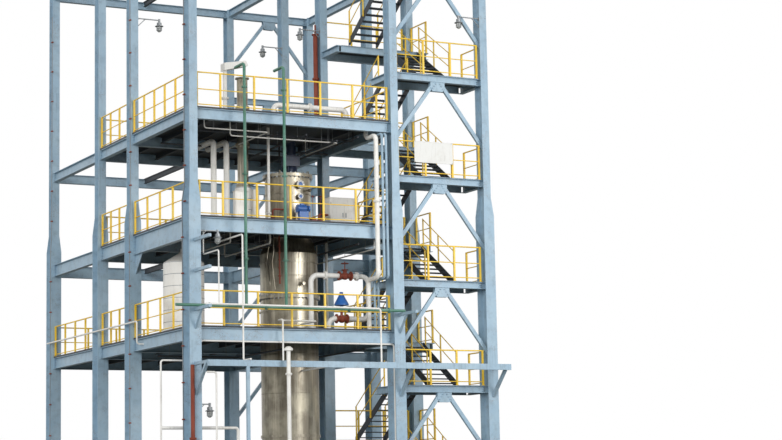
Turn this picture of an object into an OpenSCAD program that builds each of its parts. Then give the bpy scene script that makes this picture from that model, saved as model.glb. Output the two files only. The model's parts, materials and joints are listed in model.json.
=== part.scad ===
/* [Frame grid] */
// Width of the main bay, between column lines 1 and 2
bay_main = 7400; // [7000:100:8000]
// Width of the stair bay, between column lines 2 and 3
bay_stair = 3600; // [3400:100:4000]
// Depth of the front bay, between rows 1 and 2
bay_front = 5500; // [5300:100:6000]
// Depth of the middle bay, between rows 2 and 3
bay_mid = 3400; // [3000:100:4000]
// Depth of the rear bay, between rows 3 and 4
bay_rear = 5400; // [4800:100:6000]
// Height of one storey
storey = 3600; // [3500:20:3700]
// Distance from column line 1 to the axis of the column vessel
axis_from_line = 4950; // [4700:50:5100]
// Distance from row 1 to the axis of the column vessel
axis_from_row = 3300; // [3100:50:3400]

/* [Columns] */
// Flange width of the lower column lengths
lower_col_w = 400; // [360:10:440]
// Depth of the lower column lengths
lower_col_d = 600; // [540:10:640]
// Flange width of the upper column lengths
upper_col_w = 280; // [260:10:320]
// Depth of the upper column lengths
upper_col_d = 450; // [400:10:500]
// Thickness of the column flanges
col_flange_t = 25; // [20:1:32]
// Thickness of the column webs
col_web_t = 16; // [12:1:20]
// Height of the lower column lengths above the level 2 deck
splice_above = 500; // [400:20:700]
// Height of the taper between the lower and upper lengths
taper_h = 650; // [500:10:800]
// Thickness of the base plates
base_t = 40; // [30:5:60]
// Margin of the base plates round the column
base_margin = 120; // [100:5:160]
// Diameter of the anchor bolt holes
anchor_d = 36; // [28:2:42]
// Distance of the anchor bolt holes from the plate edges
anchor_edge = 60; // [50:5:70]

/* [Beams] */
// Depth of the level 1 beams
beam_d1 = 400; // [350:10:450]
// Depth of the level 2 beams
beam_d2 = 450; // [400:10:500]
// Depth of the deep left side beam of level 2
beam_d2_left = 650; // [550:10:750]
// Depth of the level 3 beams
beam_d3 = 350; // [300:10:400]
// Depth of the top ring beams
beam_top_d = 300; // [260:10:340]
// Depth of the landing beams
landing_beam_d = 240; // [220:10:280]
// Flange width of all beams
beam_w = 200; // [180:10:240]
// Thickness of the beam flanges
beam_flange_t = 16; // [12:1:20]
// Thickness of the beam webs
beam_web_t = 10; // [8:1:14]
// Width of the bracing bars in the stair bay
brace_w = 130; // [100:10:160]
// Thickness of the bracing bars in the stair bay
brace_t = 100; // [80:10:120]
// Height of the brace feet above the landing below
brace_foot = 1000; // [800:20:1200]
// Gap between the two brace legs at their apex
apex_gap = 60; // [40:5:100]
// Width of the gusset at a brace apex
gusset_w = 560; // [480:20:640]
// Height of the gusset at a brace apex
gusset_h = 330; // [280:10:380]
// Thickness of the gussets
gusset_t = 20; // [12:2:24]

/* [Decks] */
// Thickness of the deck plates
deck_t = 10; // [8:1:16]
// Gap between neighbouring deck plates
plate_gap = 8; // [4:1:12]
// Clearance of the deck plates round the columns
col_clear = 12; // [8:2:20]
// Depth of the joists under the decks
joist_d = 200; // [160:10:240]
// Flange width of the joists
joist_w = 100; // [80:10:120]
// Number of joists in the main bay width
joist_count = 6; // [5:1:7]
// Clear gap between the vessel and its deck opening
vessel_gap = 100; // [60:10:140]

/* [Handrails] */
// Height of the top rail above the deck
rail_h = 1200; // [1100:10:1300]
// Height of the middle rail above the deck
rail_mid_h = 640; // [560:10:700]
// Height of the bottom rail above the deck
rail_low_h = 130; // [110:10:180]
// Diameter of the top rail
rail_d = 48; // [46:1:56]
// Diameter of the lower rails
rail_low_d = 34; // [30:1:40]
// Side of the square rail posts
post_w = 60; // [56:1:70]
// Spacing of the rail posts
post_pitch = 1215; // [1000:5:1400]
// First spacing on the front rails
first_post = 830; // [700:10:1000]
// Clear distance between a rail and the column beside it
rail_end_gap = 60; // [50:5:100]
// Distance of the rails inside the outer beam edge
rail_inset = 60; // [50:5:90]

/* [Stair] */
// Number of risers in one flight
risers = 10; // [9:1:11]
// Going of one tread
going = 280; // [260:5:300]
// Clear width of a flight between its stringers
lane_w = 1100; // [1000:20:1200]
// Distance of a flight's centre line from the column line
lane_offset = 950; // [900:10:1000]
// Thickness of the treads
tread_t = 32; // [25:1:40]
// Gap between one tread and the next, seen from above
tread_gap = 20; // [10:2:30]
// Depth of the stringers, measured upright
stringer_d = 300; // [280:5:320]
// Thickness of the stringers
stringer_t = 12; // [10:1:16]
// Height of the stringers above the nosing line
stringer_lip = 20; // [10:2:40]
// Height of the stair rail above the nosing line
stair_rail_h = 1000; // [900:10:1100]
// Side of the square stair rail posts
stair_post = 40; // [30:2:45]
// Diameter of the stair rails
stair_rail_d = 34; // [28:1:38]

/* [Column vessel] */
// Outside diameter of the lower shells
vessel_d = 2000; // [1900:20:2100]
// Outside diameter of the upper shell
vessel_top_d = 1600; // [1500:20:1700]
// Wall of the vessel
vessel_wall = 16; // [12:1:24]
// Width across the flats of the plinth
plinth_w = 2700; // [2600:20:2900]
// Height of the plinth
plinth_h = 300; // [200:20:400]
// Height of the skirt
skirt_h = 1500; // [1300:50:1700]
// Height by which the skirt laps the lower shell
skirt_lap = 120; // [80:10:160]
// Outside diameter of the skirt base ring
base_ring_d = 2300; // [2260:10:2400]
// Thickness of the skirt base ring
base_ring_t = 30; // [20:2:40]
// Diameter of the access hole in the skirt
access_d = 500; // [400:20:600]
// Height of the body flange above the level 1 deck
flange_above = 1380; // [1200:20:1500]
// Width of the body flange rings round the shell
flange_w = 80; // [60:5:90]
// Thickness of one body flange ring
flange_t = 50; // [40:5:60]
// Distance of the cone's foot below the level 2 deck
cone_below = 700; // [600:20:900]
// Height of the cone
cone_h = 600; // [500:20:600]
// Height of the vessel cover above the level 2 deck
cover_above = 2100; // [1900:20:2300]
// Thickness of the flat cover
cover_t = 60; // [40:5:80]

// Outside diameter of the upper nozzle
nozzle_d = 170; // [140:5:190]
// Place of the nozzles, right of the vessel axis
nozzle_x = 60; // [0:10:100]
// Distance of the nozzles below the cover and from each other
nozzle_drop = 420; // [380:10:450]
// Reach of the nozzles out of the shell
nozzle_reach = 110; // [90:5:140]
// Thickness of the nozzle flanges
nozzle_flange_t = 30; // [24:2:36]

/* [Deck equipment] */
// Outside diameter of the side tank
tank_d = 1400; // [1200:20:1500]
// Height of the side tank's shell
tank_h = 2500; // [2200:20:2600]
// Rise of the side tank's conical roof
tank_roof_h = 380; // [300:20:500]
// Wall of the side tank
tank_wall = 8; // [6:1:12]
// Place of the side tank's axis, left of the vessel axis
tank_x = 3850; // [3600:20:3900]
// Place of the side tank's axis, behind the vessel axis
tank_y = 200; // [0:20:600]
// Outside diameter of the drum under the condenser
drum_d = 580; // [520:10:620]
// Height of the drum under the condenser
drum_h = 1600; // [1400:20:1700]
// Outside diameter of the condenser
condenser_d = 380; // [340:10:420]
// Height of the condenser above the level 3 deck
condenser_above = 1850; // [1600:20:2000]
// Place of the condenser, left of the vessel axis
condenser_x = 1700; // [1600:20:1800]
// Margin of the condenser's top flange round it
condenser_flange = 60; // [50:5:80]
// Thickness of the condenser's top flange
condenser_flange_t = 40; // [30:5:50]
// Diameter of the pot beside the drum
pot_d = 280; // [240:10:300]
// Height of the pot beside the drum
pot_h = 1550; // [1300:20:1600]
// Distance from the drum's axis to the pot's axis
pot_x = 450; // [440:5:480]
// Outside diameter of the insulated risers
riser_d = 200; // [160:10:240]
// Places of the insulated risers, left of the vessel axis
riser_x = [2800, 2320];
// Length of the insulated risers' run to the rear at their top
riser_back = 1700; // [1400:50:1900]

// Width of the cabinet on level 2
cabinet_w = 1100; // [900:20:1200]
// Depth of the cabinet on level 2
cabinet_d = 400; // [350:10:500]
// Height of the cabinet on level 2
cabinet_h = 1280; // [1100:20:1400]
// Place of the cabinet's left side, right of the vessel axis
cabinet_x = 1150; // [1100:10:1200]
// Place of the cabinet's front, in front of the vessel axis
cabinet_y = 1000; // [900:10:1200]
// Diameter of the pump motor
motor_d = 260; // [220:10:280]
// Length of the pump motor
motor_l = 420; // [380:10:460]
// Height of the motor's axis above the level 2 deck
motor_h = 760; // [700:10:820]
// Distance of the motor in front of the vessel axis
motor_y = 1350; // [1300:10:1500]
// Diameter of the vent riser on level 3
vent_d = 150; // [120:10:180]
// Height of the vent hood above the level 3 deck
vent_h = 1850; // [1700:20:2000]
// Place of the vent riser, left of the vessel axis
vent_x = 2770; // [2700:10:2800]
// Distance of the vent riser in front of the vessel axis
vent_y = 1000; // [900:10:1200]

/* [Lamps] */
// Reach of the lamp arms from their columns
lamp_reach = 800; // [700:10:900]
// Diameter of the lamp arms
lamp_arm_d = 42; // [34:2:48]
// Diameter of the lamp bodies
lamp_d = 170; // [150:5:200]
// Diameter of the lamp reflectors
lamp_hood_d = 300; // [260:10:340]

/* [Front pipework] */
// Outside diameter of the green pipes
green_d = 100; // [80:5:120]
// Distance of the green pipes in front of row 1
green_out = 600; // [560:10:640]
// Places of the green risers, left of the vessel axis
green_x = [3300, 1880];
// Height of the green risers' tops above the level 3 deck
green_top = 1500; // [1400:20:1600]
// Bend radius of the green pipes
green_bend = 150; // [120:10:200]
// Outside diameter of the insulated loop on level 1
loop_d = 180; // [150:10:220]
// Bend radius of the insulated loop
loop_bend = 260; // [240:10:300]
// Distance of the insulated loop behind row 1
loop_in = 1500; // [1300:50:1700]
// Distance of the insulated loop from column line 2
loop_from_line = 250; // [240:10:300]
// Height of the top run of the insulated loop above the level 1 deck
loop_h = 2020; // [1900:20:2200]
// Height of the lower end of the insulated loop above the level 1 deck
loop_low_h = 540; // [500:20:600]
// Depth of the support beam for the front pipes
support_d = 200; // [160:10:220]
// Width of the support beam and the arms for the front pipes
support_w = 100; // [80:10:110]
// Distance of the support beam in front of row 1
support_out = 1400; // [1300:20:1500]
// Distance of the support beam's top below the level 1 deck
support_below = 1150; // [1000:10:1200]
// Drop and reach of the knees under the support arms
support_knee = 1000; // [850:10:1000]
// Height of the header arms above the level 1 deck
arm_above = 600; // [560:10:700]
// Heights of the two upper arms on the left column above the level 1 deck
arm_heights = [1850, 2850];
// Outside diameter of the thin white pipes
white_d = 60; // [50:2:76]
// Outside diameter of the thick white pipes
white_thick_d = 100; // [90:2:120]
// Outside diameter of the white riser beside the second column
white_riser_d = 160; // [140:5:180]
// Bend radius of the thin white pipes
white_bend = 90; // [80:5:120]
// Distance of the white header in front of row 1
header_out = 1300; // [1240:10:1300]
// Height of the ground standing vent
vent_post_h = 6350; // [6200:50:6500]
// Outside diameter of the ground standing vent
vent_post_d = 130; // [110:5:150]
// Outside diameter of the rust coloured pipes
rust_d = 130; // [110:5:140]
// Clearance of the pipes from the steelwork beside them
pipe_clear = 20; // [10:2:30]

/* [Hidden] */
$fn = 48;

line_x = [-axis_from_line, bay_main - axis_from_line, bay_main + bay_stair - axis_from_line];
row_y = [-axis_from_row, bay_front - axis_from_row, bay_front + bay_mid - axis_from_row,
  bay_front + bay_mid + bay_rear - axis_from_row];
columns = [for (line = [0:2], row = [0:3]) [line, row]];
level_1 = 2 * storey;
level_2 = 3 * storey;
level_3 = 4 * storey;
level_top = 6 * storey;
splice_z = level_2 + splice_above;
half_beam = beam_w / 2;

goings = risers - 1;
riser = storey / 2 / risers;
flight_run = goings * going;
landing_depth = (bay_front - flight_run) / 2;
front_edge = row_y[0] + landing_depth;
rear_edge = row_y[1] - landing_depth;
front_landings = [for (k = [0:5]) (k + 0.5) * storey];
rear_landings = [for (k = [1:6]) k * storey];

vessel_r = vessel_d / 2;
vessel_top_r = vessel_top_d / 2;
skirt_top = plinth_h + skirt_h;
shell_z = skirt_top - skirt_lap;
flange_z = level_1 + flange_above;
cone_z = level_2 - cone_below;
cone_top = cone_z + cone_h;
cover_z = level_2 + cover_above;
head_depth = vessel_r / 2;
head_steps = 12;

header_top = level_1 + arm_above;
support_y = row_y[0] - support_out;
support_top = level_1 - support_below;
loop_y = row_y[0] + loop_in;
valve_x = 1150;
blue_enamel = "#2F6FC0";
rust_red = "#A84A2A";
blue_grey = "#93AAC2";
dark_steel = "#4A5058";
safety_yellow = "#E8B423";
stainless = "#A89F8F";
white_clad = "#ECE9E1";

function col_w(z) = z < splice_z ? lower_col_w : upper_col_w;
function col_d(z) = z < splice_z ? lower_col_d : upper_col_d;
function level_depth(k) = k == 2 ? beam_d1 : k == 3 ? beam_d2 : k == 4 ? beam_d3
  : k == 6 ? beam_top_d : landing_beam_d;
function unit(v) = v / norm(v);
function across(v) = abs(v.z) > 0.9 * norm(v) ? [1, 0, 0] : unit(cross([0, 0, 1], v));
function even_posts(len) =
  let (n = ceil(len / post_pitch)) [for (i = [0:n]) i * len / n];
function front_posts(len) =
  let (n = floor((len - first_post) / post_pitch - 0.3))
  concat([0], [for (i = [0:n]) first_post + i * post_pitch], [len]);

// Flanged profile with its top edge on the x axis
module beam_section(w, h, flange_t, web_t) {
  translate([-w / 2, -flange_t]) square([w, flange_t]);
  translate([-web_t / 2, -h + flange_t / 2]) square([web_t, h - flange_t]);
  translate([-w / 2, -h]) square([w, flange_t]);
}

module run_x(x0, x1, y, top, h, w = beam_w) {
  translate([x0, y, top]) rotate([90, 0, 90]) linear_extrude(x1 - x0)
    beam_section(w, h, beam_flange_t, beam_web_t);
}

module run_y(y0, y1, x, top, h, w = beam_w) {
  translate([x, y1, top]) rotate([90, 0, 0]) linear_extrude(y1 - y0)
    beam_section(w, h, beam_flange_t, beam_web_t);
}

// Beam along x between two columns, butted to their webs
module beam_x(line, row, top, h) {
  run_x(line_x[line] + col_web_t / 2, line_x[line + 1] - col_web_t / 2, row_y[row], top, h);
}

// Beam along y between two columns, butted to their flanges
module beam_y(line, row, top, h) {
  run_y(row_y[row] + col_d(top) / 2, row_y[row + 1] - col_d(top) / 2, line_x[line], top, h);
}

module at_columns() {
  for (c = columns) translate([line_x[c[0]], row_y[c[1]]]) children();
}

module column_length(w, d, z0, z1) {
  translate([0, d / 2, z0]) linear_extrude(z1 - z0)
    beam_section(w, d, col_flange_t, col_web_t);
}

// Round bar or pipe between two points
module rod(p, q, r) {
  k = unit(q - p);
  i = across(k);
  j = cross(k, i);
  multmatrix([[i.x, j.x, k.x, p.x], [i.y, j.y, k.y, p.y], [i.z, j.z, k.z, p.z]])
    cylinder(h = norm(q - p), r = r);
}

// Quarter or lesser bend at a corner, from direction a to direction b
module pipe_bend(corner, a, b, r, bend) {
  turn = acos(a * b);
  start = corner - a * bend * tan(turn / 2);
  n = unit(b - a * (a * b));
  centre = start + n * bend;
  k = cross(a, n);
  multmatrix([[-n.x, a.x, k.x, centre.x], [-n.y, a.y, k.y, centre.y], [-n.z, a.z, k.z, centre.z]])
    rotate_extrude(angle = turn) translate([bend, 0]) circle(r);
}

// Pipe along a list of points, with bends at the inner ones
module pipe_route(points, r, bend) {
  last = len(points) - 1;
  dirs = [for (i = [0:last - 1]) unit(points[i + 1] - points[i])];
  cuts = [for (i = [0:last]) i == 0 || i == last ? 0 : bend * tan(acos(dirs[i - 1] * dirs[i]) / 2)];
  for (i = [0:last - 1])
    rod(points[i] + dirs[i] * cuts[i], points[i + 1] - dirs[i] * cuts[i + 1], r);
  for (i = [1:1:last - 1])
    pipe_bend(points[i], dirs[i - 1], dirs[i], r, bend);
}

module base_plates() {
  w = lower_col_w + 2 * base_margin;
  d = lower_col_d + 2 * base_margin;
  color(blue_grey) at_columns() difference() {
    translate([-w / 2, -d / 2]) cube([w, d, base_t]);
    for (sx = [-1, 1], sy = [-1, 1])
      translate([sx * (w / 2 - anchor_edge), sy * (d / 2 - anchor_edge), -1])
        cylinder(h = base_t + 2, d = anchor_d);
  }
}

module lower_columns() {
  color(blue_grey) at_columns() column_length(lower_col_w, lower_col_d, base_t, splice_z);
}

// Tapered length: its web, and flanges that close in from the lower to the upper section
module taper_length() {
  for (s = [-1, 1]) intersection() {
    translate([-lower_col_w / 2, 0, 0]) rotate([90, 0, 90]) linear_extrude(lower_col_w) polygon([
      [s * lower_col_d / 2, 0], [s * upper_col_d / 2, taper_h],
      [s * (upper_col_d / 2 - col_flange_t), taper_h], [s * (lower_col_d / 2 - col_flange_t), 0]]);
    translate([0, lower_col_d / 2, 0]) rotate([90, 0, 0]) linear_extrude(lower_col_d) polygon([
      [-lower_col_w / 2, 0], [lower_col_w / 2, 0], [upper_col_w / 2, taper_h], [-upper_col_w / 2, taper_h]]);
  }
  low = lower_col_d / 2 - col_flange_t / 2;
  high = upper_col_d / 2 - col_flange_t / 2;
  translate([-col_web_t / 2, 0, 0]) rotate([90, 0, 90]) linear_extrude(col_web_t)
    polygon([[-low, 0], [low, 0], [high, taper_h], [-high, taper_h]]);
}

module column_tapers() {
  color(blue_grey) at_columns() translate([0, 0, splice_z]) taper_length();
}

module upper_columns() {
  color(blue_grey) at_columns()
    column_length(upper_col_w, upper_col_d, splice_z + taper_h, level_top);
}

// Beams of one main level, with the front left side beam of its own depth
module level_beams(top, h, h_left) {
  for (row = [0:3]) beam_x(0, row, top, h);
  for (row = [2, 3]) beam_x(1, row, top, h);
  beam_y(0, 0, top, h_left);
  beam_y(1, 0, top, h);
  for (line = [0:2], row = [1, 2]) beam_y(line, row, top, h);
}

// Joist across the open rear bay at its middle
module rear_joist(top) {
  middle = (line_x[0] + line_x[1]) / 2;
  run_y(row_y[2] + half_beam, row_y[3] - half_beam, middle, top, joist_d, joist_w);
}

module beams_level_1() {
  color(blue_grey) level_beams(level_1 - deck_t, beam_d1, beam_d1);
}

module beams_level_2() {
  color(blue_grey) level_beams(level_2 - deck_t, beam_d2, beam_d2_left);
}

module beams_level_3() {
  color(blue_grey) level_beams(level_3 - deck_t, beam_d3, beam_d3);
}

module top_ring_beams() {
  color(blue_grey) {
    level_beams(level_top - deck_t, beam_top_d, beam_top_d);
    beam_x(1, 0, level_top - deck_t, beam_top_d);
    beam_y(2, 0, level_top - deck_t, beam_top_d);
  }
}

module landing_trimmer(edge_y, inward, top) {
  y = edge_y + inward * joist_w / 2;
  run_x(line_x[1] + half_beam, line_x[2] - half_beam, y, top, landing_beam_d, joist_w);
}

module landing_beams() {
  color(blue_grey) {
    for (z = front_landings) {
      top = z - deck_t;
      beam_x(1, 0, top, landing_beam_d);
      landing_trimmer(front_edge, -1, top);
      for (line = [1, 2])
        run_y(row_y[0] + col_d(top) / 2, front_edge, line_x[line], top, landing_beam_d);
    }
    for (z = rear_landings) {
      top = z - deck_t;
      main = z == level_1 || z == level_2 || z == level_3;
      beam_x(1, 1, top, landing_beam_d);
      landing_trimmer(rear_edge, 1, top);
      for (line = [1, 2])
        if (z < level_top && !(main && line == 1))
          run_y(rear_edge, row_y[1] - col_d(top) / 2, line_x[line], top, landing_beam_d);
      if (z < level_top && !main) beam_x(1, 3, top, landing_beam_d);
    }
  }
}

// Row, deck height and depth of each beam that a pair of braces holds
braced = concat([for (k = [1:5]) [0, (k + 0.5) * storey, landing_beam_d]],
  [for (k = [2:6]) [3, k * storey, level_depth(k)]]);

// Places its children under the middle of one braced beam
module at_apex(beam) {
  translate([(line_x[1] + line_x[2]) / 2, row_y[beam[0]], beam[1] - deck_t - beam[2]]) children();
}

// One leg of the inverted V, from a column web up to the beam above
module brace_leg(rise) {
  reach = bay_stair / 2 - col_web_t / 2;
  slope = rise / (reach - apex_gap / 2);
  cut_w = brace_w / sin(atan(slope));
  translate([0, brace_t / 2, 0]) rotate([90, 0, 0]) linear_extrude(brace_t) polygon([
    [-reach, -rise], [-reach, cut_w * slope - rise], [-apex_gap / 2 - cut_w, 0], [-apex_gap / 2, 0]]);
}

module stair_bay_braces() {
  color(blue_grey) for (beam = braced) {
    rise = storey - brace_foot - deck_t - beam[2];
    at_apex(beam) brace_leg(rise);
    at_apex(beam) mirror([1, 0, 0]) brace_leg(rise);
  }
}

// Plates in front of and behind the two legs at the apex
// Haunch plate under the deep side beam, in the corner with the second row's column
module haunch() {
  top = level_2 - deck_t - beam_d2_left;
  y = row_y[1] - lower_col_d / 2;
  translate([line_x[0] - gusset_t / 2, 0, 0]) rotate([90, 0, 90]) linear_extrude(gusset_t)
    polygon([[y, top], [y, top - 2 * gusset_h], [y - 2 * gusset_h, top]]);
}

module brace_gussets() {
  color(blue_grey) haunch();
  color(blue_grey) for (beam = braced, y = [-brace_t / 2, brace_t / 2 + gusset_t])
    at_apex(beam) translate([0, y, 0]) rotate([90, 0, 0]) linear_extrude(gusset_t) polygon([
      [-gusset_w / 2, 0], [gusset_w / 2, 0], [gusset_w / 2, -gusset_h * 0.6],
      [gusset_w * 0.36, -gusset_h], [-gusset_w * 0.36, -gusset_h], [-gusset_w / 2, -gusset_h * 0.6]]);
}

module joist_field(top, last_row) {
  pitch = bay_main / (joist_count + 1);
  for (row = [0:last_row], i = [1:joist_count]) {
    x = line_x[0] + i * pitch;
    y0 = row_y[row] + half_beam;
    y1 = row_y[row + 1] - half_beam;
    inside = row == 0 && abs(x) < vessel_r + vessel_gap + joist_w;
    if (!inside) run_y(y0, y1, x, top, joist_d, joist_w);
  }
}

// Joists beside the vessel opening and the two trimmers that close it
module opening_joists(top, hole) {
  y0 = row_y[0] + half_beam;
  y1 = row_y[1] - half_beam;
  side = hole / 2 + joist_w / 2;
  for (s = [-1, 1]) {
    run_y(y0, y1, s * side, top, joist_d, joist_w);
    run_x(-hole / 2, hole / 2, s * side, top, joist_d, joist_w);
  }
}

module deck_joists() {
  color(dark_steel) {
    joist_field(level_1 - deck_t, 2);
    opening_joists(level_1 - deck_t, vessel_d + 2 * vessel_gap);
    joist_field(level_2 - deck_t, 1);
    opening_joists(level_2 - deck_t, vessel_top_d + 2 * vessel_gap);
    joist_field(level_3 - deck_t, 1);
    for (z = [level_2, level_3, level_top]) rear_joist(z - deck_t);
  }
}

// One deck plate with its corners cut round the columns
module deck_plate(x0, x1, y0, y1, top) {
  w = col_w(top) + 2 * col_clear;
  d = col_d(top) + 2 * col_clear;
  difference() {
    translate([x0, y0, top - deck_t]) cube([x1 - x0, y1 - y0, deck_t]);
    at_columns() translate([-w / 2, -d / 2, top - deck_t - 1]) cube([w, d, deck_t + 2]);
  }
}

// Four plates round the square opening for the vessel
module plates_round_hole(hole, top) {
  x0 = line_x[0] - half_beam;
  x1 = line_x[1] + half_beam;
  y0 = row_y[0] - half_beam;
  y1 = row_y[1] - plate_gap / 2;
  h = hole / 2;
  deck_plate(x0, x1, y0, -h, top);
  deck_plate(x0, x1, h, y1, top);
  deck_plate(x0, -h, -h + plate_gap, h - plate_gap, top);
  deck_plate(h, x1, -h + plate_gap, h - plate_gap, top);
}

module bay_plate(row, top, last) {
  deck_plate(line_x[0] - half_beam, line_x[1] + half_beam, row_y[row] + plate_gap / 2,
    last ? row_y[row + 1] + half_beam : row_y[row + 1] - plate_gap / 2, top);
}

module deck_level_1() {
  color(dark_steel) {
    plates_round_hole(vessel_d + 2 * vessel_gap, level_1);
    bay_plate(1, level_1, false);
    bay_plate(2, level_1, true);
  }
}

module deck_level_2() {
  color(dark_steel) {
    plates_round_hole(vessel_top_d + 2 * vessel_gap, level_2);
    bay_plate(1, level_2, true);
  }
}

module deck_level_3() {
  hole = condenser_d + 2 * plate_gap;
  color(dark_steel) {
    difference() {
      deck_plate(line_x[0] - half_beam, line_x[1] + half_beam, row_y[0] - half_beam,
        row_y[1] - plate_gap / 2, level_3);
      translate([-condenser_x, 0, level_3 - deck_t - 1]) cylinder(h = deck_t + 2, d = hole);
    }
    bay_plate(1, level_3, true);
  }
}

// Three rails on posts, along x from the origin
module rail_panel(length, posts) {
  reach = post_w / 2 + rail_d / 4;
  for (x = posts) translate([x - post_w / 2, -post_w / 2, 0]) cube([post_w, post_w, rail_h - rail_d / 4]);
  rod([-reach, 0, rail_h], [length + reach, 0, rail_h], rail_d / 2);
  for (z = [rail_mid_h, rail_low_h]) rod([0, 0, z], [length, 0, z], rail_low_d / 2);
}

module rail_x(line, row, side, z, front = false) {
  x0 = line_x[line] + col_w(z) / 2 + rail_end_gap;
  length = line_x[line + 1] - col_w(z) / 2 - rail_end_gap - x0;
  translate([x0, row_y[row] + side * (half_beam - rail_inset), z])
    rail_panel(length, front ? front_posts(length) : even_posts(length));
}

module rail_run_y(line, side, y0, y1, z) {
  length = y1 - y0 - 2 * rail_end_gap;
  translate([line_x[line] + side * (half_beam - rail_inset), y0 + rail_end_gap, z]) rotate([0, 0, 90])
    rail_panel(length, even_posts(length));
}

module rail_y(line, row, side, z) {
  rail_run_y(line, side, row_y[row] + col_d(z) / 2, row_y[row + 1] - col_d(z) / 2, z);
}

// Rails round one main deck whose last bay is given
module deck_rails(z, last_row) {
  rail_x(0, 0, -1, z, true);
  rail_x(0, last_row + 1, 1, z);
  for (row = [0:last_row]) rail_y(0, row, -1, z);
  for (row = [1:last_row]) rail_y(1, row, 1, z);
  rail_run_y(1, 1, row_y[0] + col_d(z) / 2, rear_edge, z);
}

module handrail_level_1() {
  color(safety_yellow) deck_rails(level_1, 2);
}

module handrail_level_2() {
  color(safety_yellow) deck_rails(level_2, 1);
}

module handrail_level_3() {
  color(safety_yellow) deck_rails(level_3, 1);
}

module landing_plates() {
  x0 = line_x[1] + half_beam + plate_gap;
  x1 = line_x[2] + half_beam;
  color(dark_steel) {
    for (z = front_landings) deck_plate(x0, x1, row_y[0] - half_beam, front_edge, z);
    for (z = rear_landings) deck_plate(x0, x1, rear_edge, row_y[1] + half_beam, z);
  }
}

module landing_handrails() {
  color(safety_yellow) {
    for (z = front_landings) {
      rail_x(1, 0, -1, z);
      rail_run_y(2, 1, row_y[0] + col_d(z) / 2, front_edge, z);
    }
    for (z = rear_landings) {
      rail_x(1, 1, 1, z);
      rail_run_y(2, 1, rear_edge, row_y[1] - col_d(z) / 2, z);
    }
  }
}

// Places its children at the low end of every flight, climbing along +y
module at_flights() {
  for (k = [0:5]) {
    translate([line_x[1] + lane_offset, rear_edge, k * storey]) mirror([0, 1, 0]) children();
    translate([line_x[2] - lane_offset, front_edge, (k + 0.5) * storey]) children();
  }
}

// Side plate of a flight, upright at both ends
module stringer(x, foot) {
  slope = riser / going;
  low = riser + stringer_lip - stringer_d;
  turn = max(foot, low);
  translate([x, 0, 0]) rotate([90, 0, 90]) linear_extrude(stringer_t) polygon([
    [0, riser + stringer_lip], [0, turn], [(turn - low) / slope, turn],
    [flight_run, low + flight_run * slope], [flight_run, riser + stringer_lip + flight_run * slope]]);
}

module stair_stringers() {
  color(dark_steel) {
    at_flights() for (x = [-lane_w / 2 - stringer_t, lane_w / 2]) stringer(x, 0);
  }
}

module stair_treads() {
  color(dark_steel) at_flights() for (k = [1:goings])
    translate([-lane_w / 2, (k - 1) * going, k * riser - tread_t])
      cube([lane_w, going - tread_gap, tread_t]);
}

// Rail on the outer face of one stringer
module flight_rail(x) {
  slope = riser / going;
  inset = going / 2;
  posts = [inset, flight_run / 2, flight_run - inset];
  for (y = posts) translate([x - stair_post / 2, y - stair_post / 2, y * slope])
    cube([stair_post, stair_post, riser + stair_rail_h - stair_rail_d / 4]);
  ends = [inset - stair_post, flight_run - inset + stair_post];
  for (h = [riser + stair_rail_h, riser + stair_rail_h / 2])
    rod([x, ends[0], h + ends[0] * slope], [x, ends[1], h + ends[1] * slope], stair_rail_d / 2);
}

module stair_handrails() {
  side = lane_w / 2 + stringer_t + stair_post / 2;
  color(safety_yellow) at_flights() for (x = [-side, side]) flight_rail(x);
}

module vessel_plinth() {
  color("#9A9A94") rotate([0, 0, 22.5])
    cylinder(h = plinth_h, d = plinth_w / cos(22.5), $fn = 8);
}

module vessel_skirt() {
  color(stainless) difference() {
    union() {
      translate([0, 0, plinth_h]) cylinder(h = skirt_h, r = vessel_r + vessel_wall, $fn = 96);
      translate([0, 0, plinth_h]) cylinder(h = base_ring_t, d = base_ring_d, $fn = 96);
    }
    translate([0, 0, plinth_h - 1]) cylinder(h = skirt_h + 2, r = vessel_r, $fn = 96);
    translate([0, 0, plinth_h + skirt_h / 2]) rotate([90, 0, 0])
      cylinder(h = vessel_d, d = access_d);
  }
}

// Half of an ellipsoidal head as a shell, rim at z = 0 and crown below it
module vessel_bottom_head() {
  outer = [for (i = [0:head_steps]) let (a = 90 * i / head_steps)
    [vessel_r * cos(a), -head_depth * sin(a)]];
  inner = [for (i = [head_steps:-1:0]) let (a = 90 * i / head_steps)
    [(vessel_r - vessel_wall) * cos(a), -(head_depth - vessel_wall) * sin(a)]];
  color(stainless) translate([0, 0, shell_z]) rotate_extrude($fn = 96)
    polygon(concat(outer, inner));
}

module shell_ring(r, z0, z1, wall = vessel_wall) {
  translate([0, 0, z0]) difference() {
    cylinder(h = z1 - z0, r = r, $fn = 96);
    translate([0, 0, -1]) cylinder(h = z1 - z0 + 2, r = r - wall, $fn = 96);
  }
}

module vessel_lower_shell() {
  color(stainless) {
    shell_ring(vessel_r, shell_z, flange_z);
    shell_ring(vessel_r + flange_w, flange_z - flange_t, flange_z, flange_w + vessel_wall);
  }
}

module vessel_middle_shell() {
  color(stainless) {
    shell_ring(vessel_r, flange_z, cone_z);
    shell_ring(vessel_r + flange_w, flange_z, flange_z + flange_t, flange_w + vessel_wall);
  }
}

module vessel_cone() {
  color(stainless) translate([0, 0, cone_z]) rotate_extrude($fn = 96) polygon([
    [vessel_r - vessel_wall, 0], [vessel_r, 0], [vessel_top_r, cone_h],
    [vessel_top_r - vessel_wall, cone_h]]);
}

module vessel_upper_shell() {
  top = cover_z - cover_t;
  color(stainless) {
    shell_ring(vessel_top_r, cone_top, top);
    shell_ring(vessel_top_r + flange_w, top - flange_t, top, flange_w + vessel_wall);
  }
}

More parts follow.
